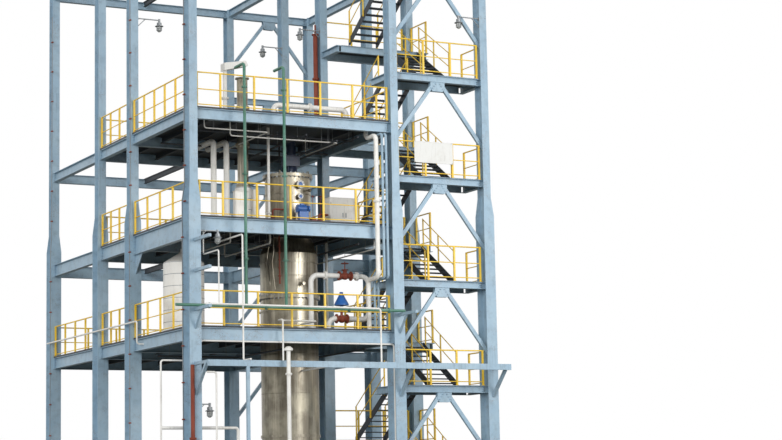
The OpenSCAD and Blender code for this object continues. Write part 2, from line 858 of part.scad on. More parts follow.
module vessel_cover() {
  lug_w = 90;
  lug_t = 20;
  color(stainless) {
    translate([0, 0, cover_z - cover_t]) cylinder(h = cover_t, r = vessel_top_r + flange_w, $fn = 96);
    for (a = [45:90:315]) rotate([0, 0, a])
      translate([vessel_top_r - lug_w, -lug_t / 2, cover_z]) difference() {
        cube([lug_w, lug_t, 1.3 * lug_w]);
        translate([lug_w / 2, -1, 0.8 * lug_w]) rotate([-90, 0, 0])
          cylinder(h = lug_t + 2, d = 0.4 * lug_w);
      }
  }
}

// Branch on the upper shell, pointing forward, with its flange
module branch(x, z, d, reach) {
  translate([x, 0, z]) rotate([90, 0, 0]) {
    cylinder(h = vessel_top_r + reach, d = d);
    translate([0, 0, vessel_top_r + reach]) cylinder(h = nozzle_flange_t, d = 1.7 * d);
  }
}

module vessel_nozzles() {
  color(stainless) difference() {
    union() {
      branch(nozzle_x, cover_z - nozzle_drop, nozzle_d, nozzle_reach);
      branch(nozzle_x, cover_z - 2 * nozzle_drop, 0.7 * nozzle_d, nozzle_reach);
    }
    cylinder(h = cover_z, r = vessel_top_r, $fn = 96);
  }
}

module at_tank() {
  translate([-tank_x, tank_y, level_1]) children();
}

module side_tank_floor() {
  color(white_clad) at_tank() cylinder(h = tank_wall, d = tank_d, $fn = 96);
}

module side_tank_shell() {
  color(white_clad) at_tank() shell_ring(tank_d / 2, tank_wall, tank_h, tank_wall);
}

module side_tank_roof() {
  r = tank_d / 2;
  neck = r / 6;
  color(white_clad) at_tank() translate([0, 0, tank_h]) rotate_extrude($fn = 96) polygon([
    [r, 0], [r, tank_wall], [neck, tank_roof_h], [neck, tank_roof_h + neck],
    [0, tank_roof_h + neck], [0, tank_roof_h - tank_wall], [r - 3 * tank_wall, 0]]);
}

module at_condenser(z) {
  translate([-condenser_x, 0, z]) children();
}

module condenser_drum() {
  color(white_clad) at_condenser(level_2) {
    cylinder(h = drum_h, d = drum_d);
    translate([pot_x, 0, 0]) cylinder(h = pot_h, d = pot_d);
  }
}

module condenser() {
  top = level_3 + condenser_above;
  low = level_2 + drum_h;
  color(stainless) at_condenser(low) {
    cylinder(h = top - low, d = condenser_d);
    translate([0, 0, top - low])
      cylinder(h = condenser_flange_t, d = condenser_d + 2 * condenser_flange);
  }
}

module insulated_risers() {
  top = level_3 - deck_t - joist_d - riser_d;
  color(white_clad) for (x = riser_x)
    pipe_route([[-x, 0, level_2], [-x, 0, top], [-x, riser_back, top]], riser_d / 2, riser_d);
}

module green_pipes() {
  y = row_y[0] - green_out;
  header = header_top + green_d / 2;
  over = level_3 + green_top;
  color("#2F6B4F") {
    for (x = green_x)
      pipe_route([[-x, y, header], [-x, y, over], [-x, row_y[0] + green_bend, over]],
        green_d / 2, green_bend);
    rod([line_x[0] - 800, y, header], [line_x[1] + support_w / 2, y, header], green_d / 2);
  }
}

module insulated_loop() {
  right = line_x[1] - loop_from_line;
  high = level_1 + loop_h;
  low = level_1 + loop_low_h;
  color(white_clad) pipe_route([[0, loop_y, level_1], [0, loop_y, high], [right, loop_y, high],
    [right, loop_y, low], [valve_x - 500, loop_y, low], [valve_x - 500, loop_y, level_1]],
    loop_d / 2, loop_bend);
}

// Bar between two points in the plane x, with its width across that plane
module flat_bar(x, y0, z0, y1, z1, depth, width) {
  slope = atan2(z1 - z0, y1 - y0);
  long = norm([y1 - y0, z1 - z0]);
  translate([x - width / 2, y0, z0]) rotate([slope, 0, 0]) translate([0, 0, -depth / 2])
    cube([width, long, depth]);
}

module header_arm(line, top, reach) {
  front = row_y[0] - lower_col_d / 2;
  translate([line_x[line] - support_w / 2, front - reach, top - support_w])
    cube([support_w, reach, support_w]);
}

// Beam in front of the lower pipes with its arms, knees and post, and the arms of the headers
module pipe_support_beam() {
  front = row_y[0] - lower_col_d / 2;
  reach = front - support_y - support_w / 2;
  half = support_w / 2;
  color(blue_grey) {
    translate([line_x[0] - half, support_y - half, support_top - support_d])
      cube([line_x[2] - line_x[0] + support_w, support_w, support_d]);
    for (x = line_x) {
      translate([x - half, support_y + half, support_top - support_w]) cube([support_w, reach, support_w]);
      intersection() {
        flat_bar(x, front + half, support_top - half - support_knee, front - support_knee,
          support_top, support_w, support_w);
        translate([x - half, support_y + half, 0]) cube([support_w, reach, support_top - half]);
      }
    }
    translate([line_x[0] + 1330 - half, support_y - half, 0])
      cube([support_w, support_w, support_top - support_d]);
    for (line = [0, 1]) {
      header_arm(line, header_top, 1250);
      intersection() {
        flat_bar(line_x[line], front + half, header_top - 700, front - 600, header_top, 60, 60);
        translate([line_x[line] - half, front - 1250, header_top - 900]) cube([support_w, 1250, 860]);
      }
    }
    for (h = arm_heights) header_arm(0, level_1 + h, 1250);
    at_e_risers() for (x = [230, 380])
      translate([x, 0, 0]) riser_drop(0.55 * white_riser_d);
  }
}

module at_e_risers() {
  translate([line_x[1] - 750, row_y[0] - 250, 0]) children();
}

// Riser in front of row 1, turned back over level 1 and under level 3
module riser_drop(d) {
  top = level_3 - deck_t - beam_d3 - d;
  foot = level_1 + 1800;
  pipe_route([[0, 750, level_3 - deck_t], [0, 750, top], [0, 0, top], [0, 0, foot], [0, 750, foot],
    [0, 750, level_1]], d / 2, 1.2 * d);
}

// Thin white pipes: headers, drops and runs under the decks
module white_pipes() {
  $fn = 32;
  r = white_d / 2;
  drop_x = -1860;
  run_z = level_1 + 300;
  foot = support_top - 50;
  header_y = row_y[0] - header_out;
  header_z = header_top + r;
  under = level_1 - deck_t - beam_d1 - r - 1;
  fore = row_y[0] - 70;
  behind = row_y[0] + 400;
  low = support_top + 90;
  color(white_clad) {
    pipe_route([[line_x[0] - support_w / 2, header_y, header_z], [1220, header_y, header_z],
      [1220, header_y, support_top]], r, white_bend);
    pipe_route([[line_x[0] + 400, row_y[0], level_2 - deck_t - beam_d2],
      [line_x[0] + 400, row_y[0], level_1 + 2370], [line_x[0] + 400, header_y, level_1 + 2370],
      [line_x[0] + 400, header_y, header_z]], 0.8 * r, white_bend);
    pipe_route([[line_x[1] - 120, fore, base_t], [line_x[1] - 120, fore, under],
      [line_x[0] + 250, fore, under], [line_x[0] + 250, fore, low], [line_x[0] + 250, behind, low],
      [line_x[0] - 930, behind, low], [line_x[0] - 930, behind, 0]], r, white_bend);
    pipe_route([[line_x[0] - 930, behind, 3970], [line_x[0] + 1740, behind, 3970],
      [line_x[0] + 1740, behind, 0]], white_thick_d / 2, white_thick_d);
    pipe_route([[-loop_d / 2, loop_y, run_z], [-450, loop_y, run_z], [-450, row_y[0] + 150, run_z],
      [drop_x, row_y[0] + 150, run_z], [drop_x, row_y[0] - 250, run_z], [drop_x, row_y[0] - 250, foot],
      [0, row_y[0] - 250, foot], [0, -vessel_r, foot]], r, white_bend);
  }
}

// White pipes on and under the decks, with the standing vent
module deck_pipes() {
  r = white_d / 2;
  outer = line_x[0] - lower_col_w / 2 - pipe_clear - r;
  bend_y = row_y[1] - 1070;
  color(white_clad) {
    pipe_route([[-3550, row_y[0] + 1100, level_2 - deck_t], [-3550, row_y[0] + 1100, level_2 - 640],
      [-3550, support_y + 500, level_2 - 640], [-3550, support_y + 500, support_top + r],
      [-3550, support_y - 100, support_top + r]], r, white_bend);
    pipe_route([[-1620, -2070, level_2 - deck_t], [-1620, -2070, level_2 - 590],
      [-1620, row_y[1] - 300, level_2 - 590], [-1620, row_y[1] - 300, level_2 - deck_t]], r, white_bend);
    pipe_route([[line_x[0] - beam_web_t / 2, bend_y, level_1 - 210], [outer, bend_y, level_1 - 210],
      [outer, bend_y, level_1 + 570], [outer, row_y[3], level_1 + 570]], r, white_bend);
    pipe_route([[line_x[0] + support_w / 2, support_y + 300, support_top - 370],
      [line_x[0] + 370, support_y + 300, support_top - 370], [line_x[0] + 370, support_y + 300, 0]],
      r, white_bend);
    for (p = [[-1150, -950, level_2, level_3], [1610, 300, level_1, level_2]])
      rod([p.x, p.y, p.z], [p.x, p.y, p[3] - deck_t], white_thick_d / 2);
    at_e_risers() riser_drop(white_riser_d);
    translate([-2330, support_y - 300, 0]) vent_post();
    deck_header();
  }
}

// Standing vent with its cap
module vent_post() {
  r = vent_post_d / 2;
  rotate_extrude() polygon([[0, 0], [r, 0], [r, vent_post_h], [2.2 * r, vent_post_h],
    [2.2 * r, vent_post_h + r], [r, vent_post_h + 2 * r], [0, vent_post_h + 2 * r]]);
}

// Low header on level 3 with its two legs
module deck_header() {
  z = level_3 + 700;
  r = 0.9 * white_thick_d;
  pipe_route([[-1180, -1500, level_3], [-1180, -1500, z], [1600, -1500, z], [1600, -1500, level_3]],
    r, 2.2 * r);
}

module rust_pipes() {
  r = rust_d / 2;
  front = row_y[0] - lower_col_d / 2 - pipe_clear - r;
  side = line_x[1] - upper_col_w / 2 - pipe_clear - 1.3 * r;
  color(rust_red) {
    rod([line_x[0] - 150, front, base_t], [line_x[0] - 150, front, support_top - support_w], r);
    translate([side, row_y[1], level_3]) {
      cylinder(h = storey + 650, r = 1.3 * r);
      translate([0, 0, storey + 650]) cylinder(h = 40, r = 2 * r);
      translate([0, 0, storey + 690]) cylinder(h = 350, r = 0.5 * r);
    }
  }
}

// Gate valve on a run along x: body, flanges, bonnet, spindle and handwheel
module gate_valve(r, rise) {
  rotate([0, 90, 0]) {
    cylinder(h = 5 * r, r = 1.05 * r, center = true);
    for (s = [-1, 1]) translate([0, 0, s * 2.5 * r]) cylinder(h = 0.35 * r, r = 1.8 * r, center = true);
  }
  sphere(r = 1.5 * r);
  cylinder(h = 2.4 * r, r = 0.8 * r);
  translate([0, 0, 2.2 * r]) cylinder(h = 0.3 * r, r = 1.3 * r);
  cylinder(h = rise, r = 0.18 * r);
  translate([0, 0, rise - 0.7 * r]) rotate_extrude() translate([1.4 * r, 0]) circle(0.14 * r);
  for (a = [0, 90]) rotate([0, 0, a]) translate([0, 0, rise - 0.7 * r]) rotate([0, 90, 0])
    cylinder(h = 2.8 * r, r = 0.1 * r, center = true);
}

// Opening for the pipe that runs through a valve body
module on_loop(x, z) {
  translate([x, loop_y, z]) children();
}

module valves() {
  r = loop_d / 2;
  color(rust_red) {
    difference() {
      union() {
        on_loop(1300, level_1 + loop_h) gate_valve(r, 5.5 * r);
        on_loop(valve_x, level_1 + loop_low_h) {
          rotate([0, 90, 0]) for (s = [-1, 1]) translate([0, 0, s * 2.2 * r])
            cylinder(h = 0.35 * r, r = 1.8 * r, center = true);
          rotate([0, 90, 0]) cylinder(h = 4.4 * r, r = 1.1 * r, center = true);
          sphere(r = 1.6 * r);
          cylinder(h = 3.6 * r, r = 0.5 * r);
        }
      }
      insulated_loop();
    }
    for (x = [330, 620]) translate([x, -motor_y, level_2 + 350]) {
      translate([0, 0, -350]) cylinder(h = 350, r = 0.55 * r);
      translate([0, 0, -350]) cylinder(h = 20, r = 1.2 * r);
      rotate([0, 0, 90]) gate_valve(0.55 * r, 900);
    }
  }
}

module valve_actuator() {
  r = loop_d / 2;
  color(blue_enamel) on_loop(valve_x, level_1 + loop_low_h + 3.6 * r) rotate_extrude() polygon([[0, 0],
    [0.6 * r, 0], [0.6 * r, 1.2 * r], [2.8 * r, 1.5 * r], [2.8 * r, 2 * r], [1.6 * r, 4.2 * r],
    [0.7 * r, 6 * r], [0.7 * r, 6.6 * r], [0, 6.6 * r]]);
}

module white_cabinet() {
  plinth = 80;
  color(white_clad) translate([cabinet_x, -cabinet_y, level_2]) {
    translate([20, 20, 0]) cube([cabinet_w - 40, cabinet_d - 40, plinth]);
    translate([0, 0, plinth]) cube([cabinet_w, cabinet_d, cabinet_h - plinth - 30]);
    translate([-20, -20, cabinet_h - 30]) cube([cabinet_w + 40, cabinet_d + 40, 30]);
  }
}

// Motor with its fan cowl, terminal box and pump end on a stand
module motor_pump() {
  r = motor_d / 2;
  foot = motor_h - r;
  color(blue_enamel) translate([-250, -motor_y, level_2]) {
    translate([0, -r, 0]) cube([motor_l, 2 * r, 20]);
    translate([0.1 * motor_l, -0.7 * r, 0]) cube([0.8 * motor_l, 1.4 * r, foot + 0.3 * r]);
    translate([0, 0, motor_h]) rotate([0, 90, 0]) {
      cylinder(h = 0.75 * motor_l, r = r);
      translate([0, 0, -0.05 * motor_l]) cylinder(h = 0.12 * motor_l, r = 1.08 * r);
      translate([0, 0, 0.7 * motor_l]) cylinder(h = 0.1 * motor_l, r1 = r, r2 = 0.5 * r);
      cylinder(h = 0.95 * motor_l, r = 0.3 * r);
      translate([0, 0, 0.9 * motor_l]) cylinder(h = 0.14 * motor_l, r = 0.9 * r);
    }
    translate([0.25 * motor_l, -0.4 * r, motor_h + 0.8 * r]) cube([0.3 * motor_l, 0.8 * r, 0.5 * r]);
  }
}

// Riser on level 3 with a sloping hood over its mouth
module vent_hood() {
  wall = 6;
  long = 880;
  deep = 360;
  high = 260;
  color(white_clad) translate([-vent_x, -vent_y, level_3]) {
    cylinder(h = vent_h + high / 3, d = vent_d);
    cylinder(h = 20, d = 1.8 * vent_d);
    translate([-vent_d / 2 - wall, deep / 2, vent_h]) rotate([90, 0, 0]) linear_extrude(deep) polygon([
      [0, 0], [long, high * 0.9], [long, high * 0.9 + wall], [long * 0.9, high * 1.5], [0, high], [0, 0]]);
  }
}

// Arm along x from a column flange with a hanging well glass lamp
module lamp_arm(x, y, z, way, reach) {
  drop = 180;
  translate([x, y, z]) mirror([way < 0 ? 1 : 0, 0, 0]) {
    rod([0, 0, 0], [reach, 0, 0], lamp_arm_d / 2);
    translate([-8, -60, -70]) cube([8, 120, 120]);
    rod([-4, 0, -0.35 * reach], [0.35 * reach, 0, 0], 0.35 * lamp_arm_d);
    translate([-8, -40, -0.35 * reach - 40]) cube([8, 80, 80]);
    translate([reach, 0, 0]) rotate_extrude() polygon([[0, lamp_arm_d], [lamp_arm_d, lamp_arm_d],
      [lamp_arm_d, -drop / 2], [lamp_d / 2, -drop / 2], [lamp_d / 2, -drop], [lamp_hood_d / 2, -drop - 30],
      [lamp_hood_d / 2, -drop - 45], [lamp_d / 2, -drop - 45], [0.45 * lamp_d, -drop - 200],
      [0.2 * lamp_d, -drop - 240], [0, -drop - 240]]);
  }
}

module lamps() {
  up = upper_col_w / 2 + 8;
  low = lower_col_w / 2 + 8;
  up_y = 60 - upper_col_d / 2;
  low_y = 60 - lower_col_d / 2;
  color("#B8BDC0") {
    lamp_arm(line_x[0] + up, row_y[1] + up_y, level_3 + 4200, 1, lamp_reach);
    lamp_arm(line_x[1] - up, row_y[2] + up_y, level_3 + 4450, -1, lamp_reach);
    lamp_arm(line_x[1] - up, row_y[1] + up_y, level_3 + 4380, -1, lamp_reach);
    lamp_arm(line_x[0] + low, row_y[0] + low_y, level_2 - 480, 1, 0.75 * lamp_reach);
    lamp_arm(line_x[0] + low, row_y[0] + low_y, level_1 - 2500, 1, 0.35 * lamp_reach);
    lamp_arm(line_x[2] - up, row_y[0] + up_y, level_3 + 3950, -1, lamp_reach);
  }
}

base_plates();
lower_columns();
column_tapers();
upper_columns();
beams_level_1();
beams_level_2();
beams_level_3();
top_ring_beams();
landing_beams();
stair_bay_braces();
brace_gussets();
deck_joists();
deck_level_1();
deck_level_2();
deck_level_3();
handrail_level_1();
handrail_level_2();
handrail_level_3();
landing_plates();
landing_handrails();
stair_stringers();
stair_treads();
stair_handrails();
vessel_plinth();
vessel_skirt();
vessel_bottom_head();
vessel_lower_shell();
vessel_middle_shell();
vessel_cone();
vessel_upper_shell();
vessel_cover();
vessel_nozzles();
side_tank_floor();
side_tank_shell();
side_tank_roof();
condenser_drum();
condenser();
insulated_risers();
green_pipes();
insulated_loop();
pipe_support_beam();
white_pipes();
deck_pipes();
rust_pipes();
valves();
valve_actuator();
white_cabinet();
motor_pump();
vent_hood();
lamps();
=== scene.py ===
import json
import math

import bmesh
import bpy
from mathutils import Matrix, Vector

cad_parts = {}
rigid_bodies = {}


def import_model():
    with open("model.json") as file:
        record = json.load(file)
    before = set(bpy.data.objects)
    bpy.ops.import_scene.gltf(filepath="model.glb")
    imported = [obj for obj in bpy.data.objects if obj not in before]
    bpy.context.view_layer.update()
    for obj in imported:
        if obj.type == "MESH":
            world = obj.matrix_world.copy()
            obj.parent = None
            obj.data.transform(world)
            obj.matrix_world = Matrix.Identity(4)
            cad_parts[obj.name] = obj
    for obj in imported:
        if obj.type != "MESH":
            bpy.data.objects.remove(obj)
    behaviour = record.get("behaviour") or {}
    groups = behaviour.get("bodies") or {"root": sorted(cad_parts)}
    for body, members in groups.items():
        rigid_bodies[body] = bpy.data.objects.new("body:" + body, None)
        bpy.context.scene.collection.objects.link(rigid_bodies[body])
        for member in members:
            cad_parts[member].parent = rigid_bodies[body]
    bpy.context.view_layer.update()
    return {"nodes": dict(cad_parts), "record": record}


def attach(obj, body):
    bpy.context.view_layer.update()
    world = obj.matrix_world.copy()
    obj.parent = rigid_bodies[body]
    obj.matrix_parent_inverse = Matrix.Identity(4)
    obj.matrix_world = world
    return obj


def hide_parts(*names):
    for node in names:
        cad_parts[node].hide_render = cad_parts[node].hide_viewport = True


for old in list(bpy.data.objects):
    bpy.data.objects.remove(old)
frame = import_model()
print("frame loaded,", len(frame["nodes"]), "nodes")

# heights and grid lines of the steelwork, in metres, as in the part's source
grid = {
    "lines": [-4.95, 2.45, 6.05],
    "rows": [-3.3, 2.2, 5.6, 11.0],
    "storey": 3.6,
    "level1": 7.2,
    "level2": 10.8,
    "level3": 14.4,
    "top": 21.6,
    "spliceZ": 11.3,
    "lowerColumn": (0.40, 0.60),
    "upperColumn": (0.28, 0.45),
    "deckThickness": 0.01,
    "beamDepth": {2: 0.40, 3: 0.45, 4: 0.35, 6: 0.30},
    "leftBeamDepth2": 0.65,
    "landingBeamDepth": 0.24,
    "frontEdge": -1.81,
    "rearEdge": 0.71,
}


def hexColour(text):
    channels = [int(text[i:i + 2], 16) / 255 for i in (1, 3, 5)]
    return tuple(c / 12.92 if c <= 0.04045 else ((c + 0.055) / 1.055) ** 2.4 for c in channels) + (1.0,)


# adds a node; an input takes a value, a socket, a node (its first output) or a list of these
def addNode(tree, kind, inputs=None, **settings):
    node = tree.nodes.new(kind)
    for key, value in settings.items():
        setattr(node, key, value)
    for key, value in (inputs or {}).items():
        for source in value if isinstance(value, list) else [value]:
            if isinstance(source, bpy.types.Node):
                source = source.outputs[0]
            if isinstance(source, bpy.types.NodeSocket):
                tree.links.new(source, node.inputs[key])
            else:
                node.inputs[key].default_value = source
    return node


def placeObject(name, data):
    placed = bpy.data.objects.new(name, data)
    bpy.context.scene.collection.objects.link(placed)
    return placed


def startMaterial(name, values):
    material = bpy.data.materials.new(name)
    material.use_nodes = True
    tree = material.node_tree
    tree.nodes.clear()
    shader = addNode(tree, "ShaderNodeBsdfPrincipled", values)
    addNode(tree, "ShaderNodeOutputMaterial", {"Surface": shader})
    return material, tree, shader, addNode(tree, "ShaderNodeTexCoord").outputs["Object"]


# soft patches of about sizeMm, from none at the noise's value low to full at high
def mottle(tree, coords, sizeMm, low, high, stretch=(1, 1, 1), detail=4.0, shift=0.0):
    place = addNode(tree, "ShaderNodeMapping",
                    {"Vector": coords, "Scale": stretch, "Location": (shift, 1.7 * shift, 0.6 * shift)})
    noise = addNode(tree, "ShaderNodeTexNoise",
                    {"Vector": place, "Scale": 1000 / sizeMm, "Detail": detail, "Roughness": 0.6})
    return addNode(tree, "ShaderNodeMapRange", {"Value": noise, "From Min": low, "From Max": high})


# lays stains, and on the stainless painted reflection and highlight, over the base colour, each through a mask, then
# the relief and how dull the surface is
def layFinish(tree, shader, base, stainsAndPaintedLight, relief=None, reliefMm=1.0, strength=0.3, dull=None):
    colour = hexColour(base)
    for mask, share, tint in stainsAndPaintedLight:
        amount = addNode(tree, "ShaderNodeMath", {0: mask, 1: share}, operation="MULTIPLY")
        colour = addNode(tree, "ShaderNodeMix", {0: amount, 6: colour, 7: hexColour(tint)},
                         data_type="RGBA").outputs[2]
    tree.links.new(colour, shader.inputs["Base Color"])
    if relief is not None:
        bump = addNode(tree, "ShaderNodeBump",
                       {"Height": relief, "Distance": reliefMm / 1000, "Strength": strength})
        tree.links.new(bump.outputs[0], shader.inputs["Normal"])
    if dull is not None:
        mask, least, most = dull
        rough = addNode(tree, "ShaderNodeMapRange", {"Value": mask, "To Min": least, "To Max": most})
        tree.links.new(rough.outputs[0], shader.inputs["Roughness"])


# mask of faces that look up, where dust settles
def upFacing(tree):
    normal = addNode(tree, "ShaderNodeNewGeometry").outputs["Normal"]
    height = addNode(tree, "ShaderNodeSeparateXYZ", {0: normal}).outputs["Z"]
    return addNode(tree, "ShaderNodeMapRange", {"Value": height, "From Min": 0.55, "From Max": 0.95})


# mask that is strongest just under every deck and fades down the storey, where water runs off
def underDecks(tree, coords):
    height = addNode(tree, "ShaderNodeSeparateXYZ", {0: coords}).outputs["Z"]
    raised = addNode(tree, "ShaderNodeMath", {0: height, 1: grid["beamDepth"][3]}, operation="ADD")
    share = addNode(tree, "ShaderNodeMath", {0: raised, 1: grid["storey"]}, operation="DIVIDE")
    part = addNode(tree, "ShaderNodeMath", {0: share}, operation="FRACT")
    return addNode(tree, "ShaderNodeMapRange", {"Value": part, "From Min": 0.35, "From Max": 0.95})


enamel = {"roughness": 0.42, "patchMm": 900, "streakMm": 60, "chipMm": 30, "brushMm": 24, "chalk": 0.5,
          "grime": 0.35, "runs": 0.5, "rust": 0.9, "dust": 0.5}


# alkyd enamel brushed on steel: chalky patches, rain streaks under the decks, rust where it has chipped;
# the brush marks are really 1 to 2 mm wide and are drawn far coarser, so that they show
def brushedEnamel(name, own):
    v = {**enamel, **own}
    material, tree, shader, coords = startMaterial(name, {"Roughness": v["roughness"], "IOR": 1.52})
    chalk = mottle(tree, coords, v["patchMm"], 0.40, 0.66)
    streak = mottle(tree, coords, v["streakMm"], 0.50, 0.74, stretch=(1, 1, 0.05), shift=3.0)
    grime = mottle(tree, coords, 260, 0.48, 0.75, shift=7.0, detail=6.0)
    worn = mottle(tree, coords, 700, 0.50, 0.62, shift=5.0)
    flaked = mottle(tree, coords, v["chipMm"], 0.62, 0.66, detail=5.0, shift=11.0)
    bled = mottle(tree, coords, v["chipMm"] * 1.2, 0.52, 0.70, detail=5.0, shift=11.0)
    brush = mottle(tree, coords, v["brushMm"], 0.3, 0.7, stretch=(1, 1, 0.2), shift=2.0)
    runs, chips, halo = [addNode(tree, "ShaderNodeMath", {0: a, 1: b}, operation="MULTIPLY") for a, b in (
        (streak, underDecks(tree, coords)), (flaked, worn), (bled, worn))]
    relief = addNode(tree, "ShaderNodeMath", {0: brush, 1: chips}, operation="SUBTRACT")
    layFinish(tree, shader, v["colour"], [
        (chalk, v["chalk"], v["faded"]),
        (grime, v["grime"], v["dirt"]),
        (runs, v["runs"], v["dirt"]),
        (halo, v["rust"] * 0.5, "#8A5A3A"),
        (chips, v["rust"], "#5E3A26"),
        (upFacing(tree), v["dust"], "#9C978C"),
    ], relief, 1.5, 0.35, dull=(chips, v["roughness"], 0.85))
    return material


# rolled stainless sheet: satin sheen, tea coloured stains that run down from the joints;
# its colour also holds painted reflection: dark upright bands and fine dark streaks stand in for the dark
# reflections of a satin cylinder, over the sheet's own streaky tone, and pale patches are painted highlight;
# the rolling grain is finer than 1 mm and is drawn coarser, so that it shows
def stainedStainless(name, v):
    material, tree, shader, coords = startMaterial(name, {"Roughness": v["roughness"], "Metallic": 1.0})
    # upright bands and fine streaks that darken the colour: painted dark reflection, over the sheet's own streaky
    # tone
    reflectionBands = mottle(tree, coords, v["reflectionBandMm"], 0.36, 0.68, stretch=(1, 1, 0.10))
    streaksAndReflection = mottle(tree, coords, v["streakReflectionMm"], 0.45, 0.72, stretch=(1, 1, 0.03), shift=4.0)
    # round pale patches that lighten the colour: painted highlight
    highlightPatches = mottle(tree, coords, 900, 0.45, 0.62, shift=9.0)
    grain = mottle(tree, coords, v["grainMm"], 0.3, 0.7, stretch=(1, 1, 0.05), shift=1.0)
    dents = mottle(tree, coords, 600, 0.3, 0.7, shift=6.0, detail=1.0)
    runs = addNode(tree, "ShaderNodeMath", {0: streaksAndReflection, 1: underDecks(tree, coords)}, operation="MULTIPLY")
    relief = addNode(tree, "ShaderNodeMath", {0: dents, 1: 6.0, 2: grain}, operation="MULTIPLY_ADD")
    layFinish(tree, shader, v["colour"], [
        # painted dark reflection in bands and streaks, painted highlight in pale patches
        (reflectionBands, 0.8, v["bandReflectionTint"]),
        (streaksAndReflection, 0.55, v["dark"]),
        (runs, 0.5, v["tea"]),
        (highlightPatches, 0.35, v["highlightTint"]),
        (upFacing(tree), 0.5, "#8F897E"),
    ], relief, 2.0, 0.25, dull=(reflectionBands, v["roughness"] - 0.06, v["roughness"] + 0.16))
    return material


# painted aluminium jacket over insulation: soft sheen, knocks, grey runs of dirt
def paintedJacket(name, v):
    material, tree, shader, coords = startMaterial(name, {"Roughness": v["roughness"], "IOR": 1.48})
    runs = mottle(tree, coords, 38, 0.54, 0.78, stretch=(1, 1, 0.06), shift=3.0)
    stain = mottle(tree, coords, 480, 0.52, 0.76, shift=8.0, detail=6.0)
    specks = mottle(tree, coords, 16, 0.66, 0.72, shift=12.0)
    knocks = mottle(tree, coords, 150, 0.35, 0.65, detail=2.0, shift=5.0)
    layFinish(tree, shader, v["colour"], [
        (stain, v["stain"], "#BDB6A8"),
        (runs, v["runs"], "#8E877A"),
        (specks, 0.35, "#7A6A58"),
        (upFacing(tree), 0.45, "#B5AFA3"),
    ], knocks, 4.0, 0.25)
    return material


# hot dip zinc: crystals of slightly different grey, dull
def dullZinc(name, v):
    material, tree, shader, coords = startMaterial(name, {"Roughness": v["roughness"], "Metallic": 0.85})
    spangle = addNode(tree, "ShaderNodeTexVoronoi", {"Vector": coords, "Scale": 1000 / v["spangleMm"]})
    tone = addNode(tree, "ShaderNodeSeparateXYZ", {0: spangle.outputs["Color"]})
    bloom = mottle(tree, coords, 60, 0.55, 0.75, shift=2.0)
    layFinish(tree, shader, v["colour"], [(tone, 0.35, "#8C9093"), (bloom, 0.4, "#C9CBC9")], tone, 0.5, 0.2)
    return material


# board marked concrete: grey paste, darker damp patches, pores; the sand is drawn coarser than real
def castConcrete(name, v):
    material, tree, shader, coords = startMaterial(name, {"Roughness": v["roughness"]})
    damp = mottle(tree, coords, 700, 0.42, 0.66)
    sand = mottle(tree, coords, 22, 0.40, 0.62, shift=4.0, detail=8.0)
    pores = mottle(tree, coords, 14, 0.66, 0.70, shift=8.0)
    relief = addNode(tree, "ShaderNodeMath", {0: sand, 1: pores}, operation="SUBTRACT")
    layFinish(tree, shader, v["colour"], [(damp, 0.5, "#7E7C75"), (sand, 0.3, "#B4B0A6"), (pores, 0.7, "#55524C")],
              relief, 3.0, 0.6)
    return material


# rolled tread plate in black bitumen paint: raised lozenges, trodden bright, pale dust between them
def treadPlate(name, v):
    material, tree, shader, coords = startMaterial(name, {"Roughness": v["roughness"], "IOR": 1.5})
    lozenges = []
    for turn, shift in ((math.radians(45), 0.0), (math.radians(-45), 0.5)):
        place = addNode(tree, "ShaderNodeMapping", {
            "Vector": coords, "Rotation": (0, 0, turn), "Scale": (1.0, 0.45, 0.0),
            "Location": (shift * v["lozengeMm"] / 1000, 0, 0)})
        cells = addNode(tree, "ShaderNodeTexVoronoi",
                        {"Vector": place, "Scale": 1000 / v["lozengeMm"], "Randomness": 0.0})
        lozenges.append(addNode(tree, "ShaderNodeMapRange", {"Value": cells, "From Min": 0.30, "From Max": 0.14}))
    raised = addNode(tree, "ShaderNodeMath", {0: lozenges[0], 1: lozenges[1]}, operation="MAXIMUM")
    top = upFacing(tree)
    dust = mottle(tree, coords, 900, 0.35, 0.70, detail=6.0)
    rust = mottle(tree, coords, 130, 0.58, 0.70, shift=6.0, detail=6.0)
    runs = mottle(tree, coords, 40, 0.52, 0.74, stretch=(1, 1, 0.08), shift=2.0)
    dusty, trodden = [addNode(tree, "ShaderNodeMath", {0: mask, 1: top}, operation="MULTIPLY")
                      for mask in (dust, raised)]
    layFinish(tree, shader, v["colour"], [
        (runs, 0.35, v["faded"]),
        (rust, v["rust"], "#5F4434"),
        (dusty, v["dust"], "#8D887E"),
        (trodden, 0.35, "#A3A5A6"),
    ], trodden, 1.8, 0.8)
    return material


# pressed glass of a lamp's bowl: clear, with a haze of dust that dulls it in patches
def clearGlass(name, v):
    material, tree, shader, coords = startMaterial(name, {
        "Roughness": v["hazeRoughness"][0], "IOR": 1.5, "Transmission Weight": v["transmission"]})
    haze = mottle(tree, coords, 90, 0.40, 0.75, detail=5.0)
    layFinish(tree, shader, v["colour"], [(haze, 0.5, "#B9B6AC")], dull=(haze, *v["hazeRoughness"]))
    return material


